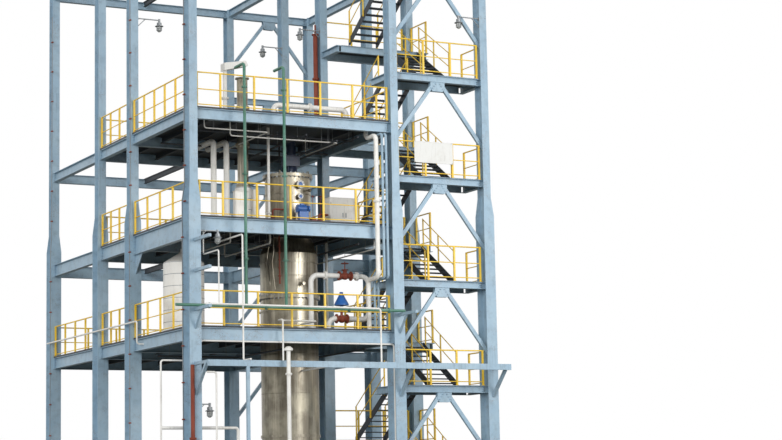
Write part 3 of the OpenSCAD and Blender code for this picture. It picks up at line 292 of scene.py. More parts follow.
finishes = {
    "structure_paint": brushedEnamel("blueGreyEnamel", {
        "colour": "#9CB8CB", "faded": "#B4CAD6", "dirt": "#66767F", "runs": 0.4}),
    "rail_yellow": brushedEnamel("yellowEnamel", {
        "colour": "#FDD030", "faded": "#FFE266", "dirt": "#B4862A", "dust": 0.12, "streakMm": 30, "chipMm": 22,
        "grime": 0.25}),
    "green_paint": brushedEnamel("greenEnamel", {
        "colour": "#4A7F6B", "faded": "#7BA394", "dirt": "#35544A", "dust": 0.4}),
    "rust_paint": brushedEnamel("redOxidePrimer", {
        "colour": "#8A4230", "faded": "#A25A45", "dirt": "#50302A", "dust": 0.35, "roughness": 0.68}),
    "blue_paint": brushedEnamel("blueMachineEnamel", {
        "colour": "#2B66B4", "faded": "#4B82C8", "dirt": "#233F66", "dust": 0.35, "roughness": 0.35}),
    # the stainless colour holds painted reflection: a dark tint for upright bands and streaks, a pale tint for
    # patches of painted highlight
    "stainless": stainedStainless("satinStainless", {
        "roughness": 0.35, "reflectionBandMm": 420, "streakReflectionMm": 55, "grainMm": 9, "colour": "#BDB6A6", "bandReflectionTint": "#7A7263",
        "dark": "#4A453D", "tea": "#7B6243", "highlightTint": "#EDE5CC"}),
    "white_cladding": paintedJacket("whiteJacket", {
        "roughness": 0.45, "colour": "#F6F4EE", "stain": 0.4, "runs": 0.45}),
    "galvanised": dullZinc("dullZinc", {"roughness": 0.5, "spangleMm": 14, "colour": "#A9ADB0"}),
    "concrete": castConcrete("castConcrete", {"roughness": 0.9, "colour": "#9D9A92"}),
    "deck_steel": treadPlate("treadPlateBlack", {
        "roughness": 0.6, "lozengeMm": 34, "colour": "#3C4147", "faded": "#5A6066", "rust": 0.6, "dust": 0.75}),
}
# navy enamel for the drive unit under the top deck, darker than the blue machine enamel: partly painted shade, the
# blue as it looks in the deck's shade
navyShadedEnamel = brushedEnamel("navyShadedMachineEnamel", {
    "colour": "#22314C", "faded": "#3A4B66", "dirt": "#1A2230", "dust": 0.4, "roughness": 0.38})
glassFinish = clearGlass("pressedGlass", {"hazeRoughness": (0.08, 0.4), "transmission": 0.55, "colour": "#E4E8E6"})
# a greyer copy of the white jacket for the sign, which stands nearest the soft box: painted shade that holds its
# white back from glare
dimmedSignFinish = paintedJacket("dimmedSignPaint", {"roughness": 0.6, "colour": "#EAEAE6", "stain": 0.3, "runs": 0.3})

for part in frame["record"]["subparts"]:
    for slot in frame["nodes"][part["node"]].material_slots:
        slot.material = finishes[part["material_slot"]]
print("finishes on the CAD nodes")

view = {"place": (-29.204, -63.911, 1.459), "yaw": -0.48001, "pitch": 0.139, "roll": -0.0201, "lens": 93.0,
        "sensor": 36.0, "farthest": 1000.0}
camera = placeObject("camera", bpy.data.cameras.new("camera"))
camera.data.lens = view["lens"]
camera.data.sensor_width = view["sensor"]
camera.data.clip_end = view["farthest"]
camera.matrix_world = (Matrix.Translation(view["place"]) @ Matrix.Rotation(view["yaw"], 4, "Z")
                       @ Matrix.Rotation(math.pi / 2 + view["pitch"], 4, "X") @ Matrix.Rotation(view["roll"], 4, "Z"))
bpy.context.scene.camera = camera
bpy.context.scene.view_settings.view_transform = "Standard"

# the sky lights the object plainly, and only rays to the eye, a sheen or glass see it white
sky = {"light": 0.54, "tint": "#FBFCFF"}
world = bpy.data.worlds.new("studio")
world.use_nodes = True
bpy.context.scene.world = world
worldTree = world.node_tree
worldTree.nodes.clear()
rays = addNode(worldTree, "ShaderNodeLightPath")
seen = rays.outputs["Is Camera Ray"]
for other in ("Is Glossy Ray", "Is Transmission Ray"):
    seen = addNode(worldTree, "ShaderNodeMath", {0: seen, 1: rays.outputs[other]}, operation="MAXIMUM")
dim = addNode(worldTree, "ShaderNodeBackground", {"Color": hexColour(sky["tint"]), "Strength": sky["light"]})
white = addNode(worldTree, "ShaderNodeBackground", {"Color": (1, 1, 1, 1), "Strength": 1.0})
choice = addNode(worldTree, "ShaderNodeMixShader", {0: seen, 1: dim, 2: white})
addNode(worldTree, "ShaderNodeOutputWorld", {"Surface": choice})

# a large soft box before the front right corner, so the light falls off towards the back, and a low side fill
studioLights = {
    "softBox": ("AREA", 1300, {"size": 14.0, "spread": math.radians(100)}, (12.0, -31.0, 15.0)),
    "lowFill": ("SUN", 1.7, {"angle": math.radians(35)}, (-75.0, -62.0, 28.0)),
}
lightTarget = Vector((0.5, 2.0, 10.0))
for name, (kind, energy, settings, place) in studioLights.items():
    light = bpy.data.lights.new(name, kind)
    for key, value in {"energy": energy, **settings}.items():
        setattr(light, key, value)
    lightObject = placeObject(name, light)
    aim = (Vector(place) - lightTarget).to_track_quat("Z", "Y")
    lightObject.matrix_world = Matrix.Translation(place) @ aim.to_matrix().to_4x4()
    lightObject.visible_camera = False
    lightObject.visible_glossy = kind == "AREA"  # metal shows one highlight only

floorLook = {"halfWidth": 900, "roughness": 0.9, "seen": "#E8E8E6", "bounce": "#8A8A84"}
bm = bmesh.new()
bmesh.ops.create_grid(bm, x_segments=8, y_segments=8, size=floorLook["halfWidth"])
floorMesh = bpy.data.meshes.new("floor")
bm.to_mesh(floorMesh)
bm.free()
floor = placeObject("floor", floorMesh)
floorFinish, floorTree, floorShader, _ = startMaterial("paleFloor", {"Roughness": floorLook["roughness"]})
floorRays = addNode(floorTree, "ShaderNodeLightPath")
floorTone = addNode(floorTree, "ShaderNodeMix", {
    0: floorRays.outputs["Is Camera Ray"], 6: hexColour(floorLook["bounce"]), 7: hexColour(floorLook["seen"])},
    data_type="RGBA")
floorTree.links.new(floorTone.outputs[2], floorShader.inputs["Base Color"])
floorMesh.materials.append(floorFinish)
print("camera, light and floor")


def keepPiece(piece):
    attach(piece, "root")
    return piece


def bakeModifiers(piece):
    graph = bpy.context.evaluated_depsgraph_get()
    solid = bpy.data.meshes.new_from_object(piece.evaluated_get(graph), depsgraph=graph)
    piece.modifiers.clear()
    piece.data = solid


def meshPiece(name, bm, slotName, finish=None, bevel=0.0):
    bmesh.ops.recalc_face_normals(bm, faces=bm.faces)
    mesh = bpy.data.meshes.new(name)
    bm.to_mesh(mesh)
    bm.free()
    mesh.materials.append(finish or finishes[slotName])
    piece = placeObject(name, mesh)
    if bevel:
        broken = piece.modifiers.new("edges", "BEVEL")
        broken.width, broken.segments, broken.limit_method = bevel, 1, "ANGLE"
        bakeModifiers(piece)
    return keepPiece(piece)


def addBlock(bm, low, high, place=None):
    verts = bmesh.ops.create_cube(bm, size=1.0)["verts"]
    bmesh.ops.scale(bm, vec=[h - l for l, h in zip(low, high)], verts=verts)
    bmesh.ops.translate(bm, vec=[(h + l) / 2 for l, h in zip(low, high)], verts=verts)
    if place:
        bmesh.ops.transform(bm, matrix=place, verts=verts)


def onCircle(radius, degrees, z):
    a = math.radians(degrees)
    return (radius * math.cos(a), radius * math.sin(a), z)


# solid turned about z from (radius, height) pairs, closed at both ends, or a ring from a closed profile
def addTurned(bm, profile, place=None, sides=32, ring=False):
    loops = [[bm.verts.new(onCircle(radius, 360 * k / sides, height)) for k in range(sides)]
             for radius, height in profile]
    for low, high in zip(loops, loops[1:] + loops[:1] * ring):
        for k in range(sides):
            n = (k + 1) % sides
            bm.faces.new((low[k], low[n], high[n], high[k]))
    if not ring:
        bm.faces.new(loops[0][::-1])
        bm.faces.new(loops[-1])
    if place:
        bmesh.ops.transform(bm, matrix=place, verts=[v for loop in loops for v in loop])


def addRing(bm, profile, place=None, sides=72):
    addTurned(bm, profile, place, sides, ring=True)


def towards(place, direction):
    return Matrix.Translation(place) @ Vector(direction).to_track_quat("Z", "Y").to_matrix().to_4x4()


# geometry node trees make what repeats; each starts and ends in the same way
def newTree(name, sizes):
    tree = bpy.data.node_groups.new(name, "GeometryNodeTree")
    tree.interface.new_socket("Geometry", in_out="INPUT", socket_type="NodeSocketGeometry")
    for label, value in sizes.items():
        kind = "NodeSocketInt" if isinstance(value, int) else "NodeSocketFloat"
        tree.interface.new_socket(label, in_out="INPUT", socket_type=kind).default_value = value
    tree.interface.new_socket("Finish", in_out="INPUT", socket_type="NodeSocketMaterial")
    tree.interface.new_socket("Geometry", in_out="OUTPUT", socket_type="NodeSocketGeometry")
    return tree, addNode(tree, "NodeGroupInput").outputs


def endTree(tree, inputs, geometry, smooth=False):
    real = addNode(tree, "GeometryNodeRealizeInstances", {0: geometry})
    shade = addNode(tree, "GeometryNodeSetShadeSmooth", {"Geometry": real, "Shade Smooth": smooth})
    coated = addNode(tree, "GeometryNodeSetMaterial", {"Geometry": shade, "Material": inputs["Finish"]})
    addNode(tree, "NodeGroupOutput", {0: coated})
    return tree


# puts the shapes on every point, one axis along the point's "facing", their size times the point's "size"
def onPoints(tree, inputs, shapes, axis="Z"):
    joined = addNode(tree, "GeometryNodeJoinGeometry", {0: shapes})
    facing = addNode(tree, "GeometryNodeInputNamedAttribute", {"Name": "facing"}, data_type="FLOAT_VECTOR")
    size = addNode(tree, "GeometryNodeInputNamedAttribute", {"Name": "size"}, data_type="FLOAT")
    turn = addNode(tree, "FunctionNodeAlignRotationToVector", {"Vector": facing}, axis=axis)
    scale = addNode(tree, "ShaderNodeCombineXYZ", {0: size, 1: size, 2: size})
    return addNode(tree, "GeometryNodeInstanceOnPoints", {
        "Points": inputs["Geometry"], "Instance": joined, "Rotation": turn, "Scale": scale})


# points are tuples of a place, the way they face and, where it isn't 1, their size
def pointMesh(name, points):
    mesh = bpy.data.meshes.new(name)
    mesh.from_pydata([p[0] for p in points], [], [])
    mesh.attributes.new("facing", "FLOAT_VECTOR", "POINT")
    mesh.attributes.new("size", "FLOAT", "POINT")
    for k, p in enumerate(points):
        mesh.attributes["facing"].data[k].vector = p[1]
        mesh.attributes["size"].data[k].value = p[2] if len(p) > 2 else 1.0
    return mesh


# routes are lists of places
def pathMesh(name, routes):
    verts, edges = [], []
    for route in routes:
        first = len(verts)
        verts += route
        edges += [(first + k, first + k + 1) for k in range(len(route) - 1)]
    mesh = bpy.data.meshes.new(name)
    mesh.from_pydata(verts, edges, [])
    return mesh


# makes a piece of a tree, on points or along routes
def applyTree(name, tree, sizes, source, slotName, finish=None):
    piece = placeObject(name, (pathMesh if isinstance(source[0], list) else pointMesh)(name, source))
    modifier = piece.modifiers.new(tree.name, "NODES")
    modifier.node_group = tree
    given = {**sizes, "Finish": finish or finishes[slotName]}
    for item in tree.interface.items_tree:
        if item.item_type == "SOCKET" and item.in_out == "INPUT" and item.name in given:
            modifier[item.identifier] = given[item.name]
    bakeModifiers(piece)
    print(name, len(piece.data.polygons), "faces")
    return keepPiece(piece)


# hexagon head on a washer, with the stud's end showing
def boltTree():
    tree, inputs = newTree("boltHeads", {"Head": 0.05, "Height": 0.03})
    stack = []
    for wide, tall, sides in ((0.577, 1.0, 6), (0.9, 0.15, 12), (0.3, 1.5, 8)):
        radius = addNode(tree, "ShaderNodeMath", {0: inputs["Head"], 1: wide}, operation="MULTIPLY")
        depth = addNode(tree, "ShaderNodeMath", {0: inputs["Height"], 1: tall}, operation="MULTIPLY")
        rise = addNode(tree, "ShaderNodeMath", {0: depth, 1: 0.5}, operation="MULTIPLY")
        shape = addNode(tree, "GeometryNodeMeshCylinder", {"Vertices": sides, "Radius": radius, "Depth": depth})
        up = addNode(tree, "ShaderNodeCombineXYZ", {2: rise})
        stack.append(addNode(tree, "GeometryNodeTransform", {"Geometry": shape, "Translation": up}))
    return endTree(tree, inputs, onPoints(tree, inputs, stack))


# the given path with its corners rounded, and the pipe's circle
def bentPath(tree, inputs, steps):
    path = addNode(tree, "GeometryNodeMeshToCurve", {0: inputs["Geometry"]})
    bent = addNode(tree, "GeometryNodeFilletCurve", {
        "Curve": path, "Radius": inputs["Bend"], "Count": steps, "Limit Radius": True}, mode="POLY")
    return bent, addNode(tree, "GeometryNodeCurvePrimitiveCircle", {
        "Resolution": inputs["Sides"], "Radius": inputs["Radius"]})


# round bar or tube that follows a path
def pipeTree():
    tree, inputs = newTree("pipeOnPath", {"Radius": 0.02, "Bend": 0.08, "Sides": 12})
    path, ring = bentPath(tree, inputs, 5)
    tube = addNode(tree, "GeometryNodeCurveToMesh", {"Curve": path, "Profile Curve": ring, "Fill Caps": True})
    return endTree(tree, inputs, tube, smooth=True)


# flat bands round a pipe at even steps along its path
def bandTree():
    tree, inputs = newTree("bandsOnPath", {"Radius": 0.1, "Bend": 0.2, "Step": 0.6, "Width": 0.02,
                                           "Thickness": 0.004, "Sides": 24})
    path, ring = bentPath(tree, inputs, 6)
    steps = addNode(tree, "GeometryNodeCurveToPoints", {"Curve": path, "Length": inputs["Step"]}, mode="LENGTH")
    strap = addNode(tree, "GeometryNodeCurvePrimitiveQuadrilateral", {
        "Width": inputs["Thickness"], "Height": inputs["Width"]})
    band = addNode(tree, "GeometryNodeCurveToMesh", {"Curve": ring, "Profile Curve": strap})
    return endTree(tree, inputs, addNode(tree, "GeometryNodeInstanceOnPoints", {
        "Points": steps, "Instance": band, "Rotation": steps.outputs["Rotation"]}))


bolts, pipes, bands = boltTree(), pipeTree(), bandTree()
lines, rows = grid["lines"], grid["rows"]


def columnSize(z):
    return grid["lowerColumn"] if z < grid["spliceZ"] else grid["upperColumn"]


# joints of the steelwork: end plates, cleats, gusset and anchor bolts
joint = {"plateWidth": 0.24, "plateThickness": 0.016, "plateBelow": 0.03, "boltPitch": 0.095, "boltMargin": 0.07,
         "boltSide": 0.07, "cleatLength": 0.10, "cleatThickness": 0.010, "cleatGap": 0.012, "cleatMargin": 0.05,
         "cleatInset": 0.02, "halfWeb": 0.006, "bolt": {"Head": 0.042, "Height": 0.026}}
plates = bmesh.new()
boltPoints = []


def boltRows(top, depth):
    room = depth - 2 * joint["boltMargin"]
    count = max(2, round(room / joint["boltPitch"]) + 1)
    return [top - joint["boltMargin"] - k * room / (count - 1) for k in range(count)]


def endPlate(line, y, way, top, depth):
    x, wide, face = lines[line], joint["plateWidth"] / 2, y + way * joint["plateThickness"]
    addBlock(plates, (x - wide, min(y, face), top - depth - joint["plateBelow"]), (x + wide, max(y, face), top))
    for z in boltRows(top, depth):
        for side in (-joint["boltSide"], joint["boltSide"]):
            boltPoints.append(((x + side, face, z), (0, way, 0)))


def cleat(line, row, way, top, depth):
    near = columnSize(top)[0] / 2 + joint["cleatGap"]
    x0, x1 = lines[line] + way * near, lines[line] + way * (near + joint["cleatLength"])
    for side in (-1, 1):
        y = rows[row] + side * joint["halfWeb"]
        face = y + side * joint["cleatThickness"]
        addBlock(plates, (min(x0, x1), min(y, face), top - depth + joint["cleatMargin"]),
                 (max(x0, x1), max(y, face), top - joint["cleatMargin"]))
        for z in boltRows(top - joint["cleatInset"], depth - 2 * joint["cleatInset"]):
            boltPoints.append((((x0 + x1) / 2, face, z), (0, side, 0)))


for level, z in ((2, grid["level1"]), (3, grid["level2"]), (4, grid["level3"]), (6, grid["top"])):
    top, depth = z - grid["deckThickness"], grid["beamDepth"][level]
    deep = columnSize(top)[1] / 2
    for line in (0, 1, 2):
        for row in (0, 1, 2):
            if line > 0 and row == 0 and not (line == 2 and level == 6):
                continue
            h = grid["leftBeamDepth2"] if (level == 3 and line == 0 and row == 0) else depth
            endPlate(line, rows[row] + deep, 1, top, h)
            endPlate(line, rows[row + 1] - deep, -1, top, h)
    for line in (0, 1):
        for row in (0, 1, 2, 3):
            if line == 1 and row in (0, 1) and level != 6:
                continue
            cleat(line, row, 1, top, depth)
            cleat(line + 1, row, -1, top, depth)
for half in range(1, 12):
    top, depth = half * grid["storey"] / 2 - grid["deckThickness"], grid["landingBeamDepth"]
    row = 0 if half % 2 else 1
    cleat(1, row, 1, top, depth)
    cleat(2, row, -1, top, depth)
meshPiece("beamEndPlates", plates, "structure_paint", bevel=0.002)

brace = {"drop": (0.06, 0.14, 0.23), "out": (0.08, 0.14, 0.20), "face": 0.07, "middle": 4.25}
for half in range(3, 12, 2):
    apex = half * grid["storey"] / 2 - grid["deckThickness"] - grid["landingBeamDepth"]
    for drop, out in zip(brace["drop"], brace["out"]):
        for way in (-1, 1):
            for side in (-1, 1):
                boltPoints.append(((brace["middle"] + way * out, rows[0] + side * brace["face"], apex - drop),
                                   (0, side, 0)))
applyTree("structureBolts", bolts, joint["bolt"], boltPoints, "structure_paint")

anchor = {"bolt": {"Head": 0.055, "Height": 0.045}, "reach": (0.26, 0.36), "z": 0.04,
          "vessel": (1.09, 0.33, 24)}  # radius, height and number round the vessel's skirt
anchors = [((x + sx * anchor["reach"][0], y + sy * anchor["reach"][1], anchor["z"]), (0, 0, 1))
           for x in lines for y in rows for sx in (-1, 1) for sy in (-1, 1)]


def boltCircle(radius, z, count, facing=(0, 0, 1)):
    return [(onCircle(radius, 360 * (k + 0.5) / count, z), facing) for k in range(count)]


applyTree("anchorBolts", bolts, anchor["bolt"], anchors + boltCircle(*anchor["vessel"]), "galvanised")
print("steel joints")

railFoot = {"Side": 0.108, "Thickness": 0.010, "Bolt": 0.041, "Head": 0.009}


# centres of the upright posts that stand at a given height in a CAD rail node
def postCentres(node, heights):
    centres, widest = [], 0.07
    corners = {tuple(round(c, 3) for c in v.co) for v in frame["nodes"][node].data.vertices}
    for z in heights:
        left = [c for c in corners if abs(c[2] - z) < 0.002]
        while left:
            group = [c for c in left if all(abs(c[i] - left[0][i]) < widest for i in (0, 1))]
            left = [c for c in left if c not in group]
            if len(group) == 4:
                centres.append((sum(c[0] for c in group) / 4, sum(c[1] for c in group) / 4, z))
    return centres


# base plate with a bolt at each corner
def footTree():
    tree, inputs = newTree("railFoot", railFoot)
    side, thick = inputs["Side"], inputs["Thickness"]
    rise = addNode(tree, "ShaderNodeMath", {0: thick, 1: 0.5}, operation="MULTIPLY")
    box, lift = [addNode(tree, "ShaderNodeCombineXYZ", v) for v in ({0: side, 1: side, 2: thick}, {2: rise})]
    slab = addNode(tree, "GeometryNodeMeshCube", {"Size": box})
    slab = addNode(tree, "GeometryNodeTransform", {"Geometry": slab, "Translation": lift})
    span = addNode(tree, "ShaderNodeMath", {0: inputs["Bolt"], 1: 2.0}, operation="MULTIPLY")
    corners = addNode(tree, "GeometryNodeMeshGrid", {
        "Size X": span, "Size Y": span, "Vertices X": 2, "Vertices Y": 2})
    head = addNode(tree, "GeometryNodeMeshCylinder", {"Vertices": 6, "Radius": inputs["Head"], "Depth": 0.03})
    heads = addNode(tree, "GeometryNodeInstanceOnPoints", {"Points": corners, "Instance": head})
    return endTree(tree, inputs, onPoints(tree, inputs, [slab, heads]))


posts = postCentres("landing_handrails", [k * grid["storey"] / 2 for k in range(1, 13)])
for k in (3, 2, 1):
    posts = postCentres("handrail_level_%d" % k, [grid["level%d" % k]]) + posts
applyTree("railFeet", footTree(), railFoot, [(place, (0, 0, 1)) for place in posts], "rail_yellow")
print(len(posts), "rail posts")

stair = {"risers": 10, "going": 0.28, "offset": 0.95}
tread = {"Width": 1.10, "Depth": 0.26, "Height": 0.032, "Bar pitch": 0.034, "Bar": 0.005, "Rod pitch": 0.10,
         "Nosing": 0.032}


# bearing bars across the flight, cross rods, end plates and a nosing, from a corner at the origin
def treadTree():
    tree, inputs = newTree("openTread", tread)
    width, depth, height = inputs["Width"], inputs["Depth"], inputs["Height"]
    pitch, rodPitch, nosing = inputs["Bar pitch"], inputs["Rod pitch"], inputs["Nosing"]
    rod, rodLow, endPlate, nose = 0.007, -0.005, 0.006, 0.006
    midWidth, midDepth, midNosing, midRod, drop = [
        addNode(tree, "ShaderNodeMath", {0: length, 1: share}, operation="MULTIPLY") for length, share in
        ((width, 0.5), (depth, 0.5), (nosing, 0.5), (rodPitch, 0.5), (height, -0.5))]
    bars, rods = [addNode(tree, "ShaderNodeMath", {
        0: addNode(tree, "ShaderNodeMath", {0: length, 1: step}, operation="DIVIDE")}, operation="FLOOR")
        for length, step in ((depth, pitch), (width, rodPitch))]
    span = addNode(tree, "ShaderNodeMath", {0: width, 1: endPlate}, operation="SUBTRACT")
    shapes = []
    for size, start, count, step in (
            ((width, inputs["Bar"], height), (midWidth, midNosing, drop), bars, (0, pitch, 0)),
            ((rod, depth, rod), (midRod, midDepth, rodLow), rods, (rodPitch, 0, 0)),
            ((endPlate, depth, height), (endPlate / 2, midDepth, drop), 2, (span, 0, 0)),
            ((width, nosing, nose), (midWidth, midNosing, -nose / 2), 1, (0, 0, 0))):
        size, start, step = [addNode(tree, "ShaderNodeCombineXYZ", dict(enumerate(v))) for v in (size, start, step)]
        line = addNode(tree, "GeometryNodeMeshLine",
                       {"Count": count, "Start Location": start, "Offset": step}, mode="OFFSET")
        bar = addNode(tree, "GeometryNodeMeshCube", {"Size": size})
        shapes.append(addNode(tree, "GeometryNodeInstanceOnPoints", {"Points": line, "Instance": bar}))
    return endTree(tree, inputs, onPoints(tree, inputs, shapes, "Y"))


treads = []
rise = grid["storey"] / 2 / stair["risers"]
for flight in range(6):
    for k in range(1, stair["risers"]):
        for line, way, start, half in ((1, 1, "rearEdge", 0), (2, -1, "frontEdge", 0.5)):
            x = lines[line] + way * (stair["offset"] + tread["Width"] / 2)
            y = grid[start] - way * (k - 1) * stair["going"]
            treads.append(((x, y, (flight + half) * grid["storey"] + k * rise), (0, -way, 0)))
openTreads = applyTree("openTreads", treadTree(), tread, treads, "deck_steel")
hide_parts("stair_treads")

edge = {"height": 0.055, "thickness": 0.006, "clear": 0.015, "overhang": 0.1, "stairSide": 4.2, "shortest": 0.05,
        "curbs": {"level1": 1.1, "level2": 0.9}}
edges, curbs = bmesh.new(), bmesh.new()


# upright strip along the deck's edge, broken where a column stands
def deckEdge(bm, axis, fixed, stops, low, high, z):
    clear = columnSize(z)[axis] / 2 + edge["clear"]
    ends = [low] + [stop + way * clear for stop in stops for way in (-1, 1)] + [high]
    for start, end in zip(ends[::2], ends[1::2]):
        if end - start > edge["shortest"]:
            corner, size = [0, 0, z], [0, 0, edge["height"]]
            corner[axis], size[axis] = start, end - start
            corner[1 - axis], size[1 - axis] = fixed, edge["thickness"]
            addBlock(bm, corner, [c + d for c, d in zip(corner, size)])


for level, last in (("level1", 3), ("level2", 2), ("level3", 2)):
    z, over, thick = grid[level], edge["overhang"], edge["thickness"]
    x0, x1, y0, y1 = lines[0] - over, lines[1] + over, rows[0] - over, rows[last] + over
    for y in (y0, y1 - thick):
        deckEdge(edges, 0, y, lines[:2], x0, x1, z)
    deckEdge(edges, 1, x0, rows[:last + 1], y0, y1, z)
    deckEdge(edges, 1, x1 - thick, rows[1:last + 1], y0 + edge["stairSide"], y1, z)
    if level in edge["curbs"]:
        half = edge["curbs"][level]
        for near in (-half - thick, half):
            deckEdge(curbs, 0, near, [], -half - thick, half + thick, z)
            deckEdge(curbs, 1, near, [], -half + 0.001, half - 0.001, z)
meshPiece("deckEdges", edges, "deck_steel")
meshPiece("openingCurbs", curbs, "rust_paint")
print("rail feet, treads and deck edges")

# on the vessel: rings of bolts (radius, middle, how far above and below it the heads sit, number), weld seams,
# hoops (height, width, how proud), upright seams (from, to, degrees round) and gauges (x, height, radius)
vessel = {"radius": 1.0, "topRadius": 0.8, "coneZ": 10.5, "coverZ": 12.9, "bolt": {"Head": 0.046, "Height": 0.03},
          "boltRings": ((1.045, 8.58, 0.05, 0.05, 44), (0.845, 12.9, 0, 0.11, 32)),
          "seams": (1.68, 5.25, 6.62, 9.30, 10.1, 11.62), "seamWidth": 0.022, "seamProud": 0.007, "sunk": 0.002,
          "hoops": ((3.79, 0.09, 0.035), (8.10, 0.05, 0.04), (9.78, 0.04, 0.03), (11.25, 0.04, 0.022),
                    (12.2, 0.04, 0.022)),
          "upSeams": ((1.7, 5.25, 252), (5.25, 8.5, 238), (8.65, 10.08, 266), (10.75, 12.78, 244)),
          "gauges": ((-0.42, 11.95, 0.055), (0.36, 12.30, 0.06), (0.02, 9.0, 0.07), (-0.30, 7.75, 0.06))}
ringBolts = []
for radius, z, above, below, count in vessel["boltRings"]:
    ringBolts += boltCircle(radius, z + above, count) + boltCircle(radius, z - below, count, (0, 0, -1))
applyTree("vesselBolts", bolts, vessel["bolt"], ringBolts, "galvanised")


def vesselRadius(z):
    return vessel["topRadius"] if z > vessel["coneZ"] else vessel["radius"]


def bead(z, wide, proud):
    r, sunk = vesselRadius(z), vesselRadius(z) - vessel["sunk"]
    return [(sunk, z - wide / 2), (r + proud * 0.8, z - wide / 4), (r + proud, z),
            (r + proud * 0.8, z + wide / 4), (sunk, z + wide / 2)]


def hoop(z, wide, proud):
    r, low, high = vesselRadius(z), z - wide / 2, z + wide / 2
    return [(r - vessel["sunk"], low), (r + proud, low), (r + proud, high), (r - vessel["sunk"], high)]


rings = bmesh.new()
for z in vessel["seams"]:
    addRing(rings, bead(z, vessel["seamWidth"], vessel["seamProud"]))
for z, wide, proud in vessel["hoops"]:
    addRing(rings, hoop(z, wide, proud))
for low, high, degrees in vessel["upSeams"]:
    addTurned(rings, [(0.010, low), (0.010, high)],
              Matrix.Translation(onCircle(vesselRadius(low), degrees, 0)), sides=8)
for r in (0.42, 0.30):
    addRing(rings, [(r - 0.012, vessel["coverZ"] - 0.002), (r, vessel["coverZ"] + 0.008),
                    (r + 0.012, vessel["coverZ"] - 0.002)])
addRing(rings, [(0.25, 0), (0.30, 0), (0.30, 0.10), (0.25, 0.10)], towards((0, -1.0, 1.05), (0, -1, 0)), sides=40)
meshPiece("vesselRings", rings, "stainless")

sight = {"x": 0.06, "y": -0.94, "radii": {12.48: 0.145, 12.06: 0.101}, "count": 8,
         "bolt": {"Head": 0.026, "Height": 0.016}}
glassRims, glassDiscs, sightBolts = bmesh.new(), bmesh.new(), []
widest = max(sight["radii"].values())
for z, r in sight["radii"].items():
    place = towards((sight["x"], sight["y"], z), (0, -1, 0))
    addRing(glassRims, [(r * 0.55, 0), (r * 0.98, 0), (r * 0.98, 0.028), (r * 0.62, 0.034), (r * 0.55, 0.02)],
            place, 36)
    addTurned(glassDiscs, [(r * 0.56, 0.0), (r * 0.56, 0.012), (r * 0.45, 0.018), (0.004, 0.02)], place, 32)
    for k in range(sight["count"]):
        across, up, _ = onCircle(0.8 * r, 360 * (k + 0.5) / sight["count"], 0)
        sightBolts.append(((sight["x"] + across, sight["y"] - 0.030, z + up), (0, -1, 0), r / widest))
meshPiece("sightRims", glassRims, "white_cladding")
meshPiece("sightGlasses", glassDiscs, "blue_paint")
applyTree("sightBolts", bolts, sight["bolt"], sightBolts, "galvanised")

instruments = bmesh.new()
for x, z, r in vessel["gauges"]:
    y = -math.sqrt(vesselRadius(z) ** 2 - x ** 2)
    addTurned(instruments, [(0.018, 0), (0.018, 0.12), (0.035, 0.12), (0.035, 0.15), (r, 0.16), (r, 0.22),
                            (r * 0.9, 0.235), (r * 0.86, 0.225), (0.004, 0.225)],
              towards((x, y + 0.02, z), (x, y, 0)), 24)
meshPiece("vesselInstruments", instruments, "stainless")
print("vessel dressing")

# bands on the jackets of pipes and tanks: routes, then radius, bend and step
band = {"Width": 0.018, "Thickness": 0.005}
proud, tankRadius = 0.0015, 0.2
jacket = {
    "risers": ([[(-x, 0, 10.82), (-x, 0, 13.99), (-x, 1.68, 13.99)] for x in (2.8, 2.32)], 0.1, 0.2, 0.8),
    "loop": ([[(0, -1.8, 7.25), (0, -1.8, 9.22), (2.2, -1.8, 9.22), (2.2, -1.8, 7.74), (0.65, -1.8, 7.74),
               (0.65, -1.8, 7.22)]], 0.09, 0.26, 0.6),
    "sideRiser": ([[(1.7, -2.8, 14.3), (1.7, -2.8, 13.88), (1.7, -3.55, 13.88), (1.7, -3.55, 9.0),
                    (1.7, -2.8, 9.0), (1.7, -2.8, 7.22)]], 0.08, 0.192, 0.8),
    "header": ([[(-1.18, -1.5, 14.42), (-1.18, -1.5, 15.1), (1.6, -1.5, 15.1), (1.6, -1.5, 14.42)]],
               0.09, 0.198, 0.7),
    "tank": ([[(-3.85, 0.2, 7.25), (-3.85, 0.2, 9.69)]], 0.7, 0.0, 0.4),
    "drum": ([[(-1.7, 0, 10.84), (-1.7, 0, 12.38)]], 0.29, 0.0, 0.38),
    "pot": ([[(-1.25, 0, 10.84), (-1.25, 0, 12.33)]], 0.14, 0.0, 0.3),
}
for label, (routes, radius, bend, step) in jacket.items():
    isTank = radius > tankRadius
    applyTree(label + "Bands", bands, {**band, "Radius": radius + proud, "Bend": bend, "Step": step,
                                       "Sides": 48 if isTank else 24},
              routes, "galvanised" if isTank else "white_cladding")

flange = {"Thickness": 0.2, "Bolts": 8}


# pair of discs with a gasket between them and a ring of bolts, of radius one before it is sized
def flangeTree():
    tree, inputs = newTree("flangedJoint", flange)
    thick = inputs["Thickness"]
    shapes = []
    for shift, radius, sides in ((-0.62, 1.0, 28), (0.62, 1.0, 28), (0, 0.72, 20)):
        disc = addNode(tree, "GeometryNodeMeshCylinder", {"Vertices": sides, "Radius": radius, "Depth": thick})
        off = addNode(tree, "ShaderNodeMath", {0: thick, 1: shift}, operation="MULTIPLY")
        up = addNode(tree, "ShaderNodeCombineXYZ", {2: off})
        shapes.append(addNode(tree, "GeometryNodeTransform", {"Geometry": disc, "Translation": up}))
    holes = addNode(tree, "GeometryNodeMeshCircle", {"Vertices": inputs["Bolts"], "Radius": 0.82})
    long = addNode(tree, "ShaderNodeMath", {0: thick, 1: 3.6}, operation="MULTIPLY")
    stud = addNode(tree, "GeometryNodeMeshCylinder", {"Vertices": 6, "Radius": 0.09, "Depth": long})
    shapes.append(addNode(tree, "GeometryNodeInstanceOnPoints", {"Points": holes, "Instance": stud}))
    return endTree(tree, inputs, onPoints(tree, inputs, shapes))


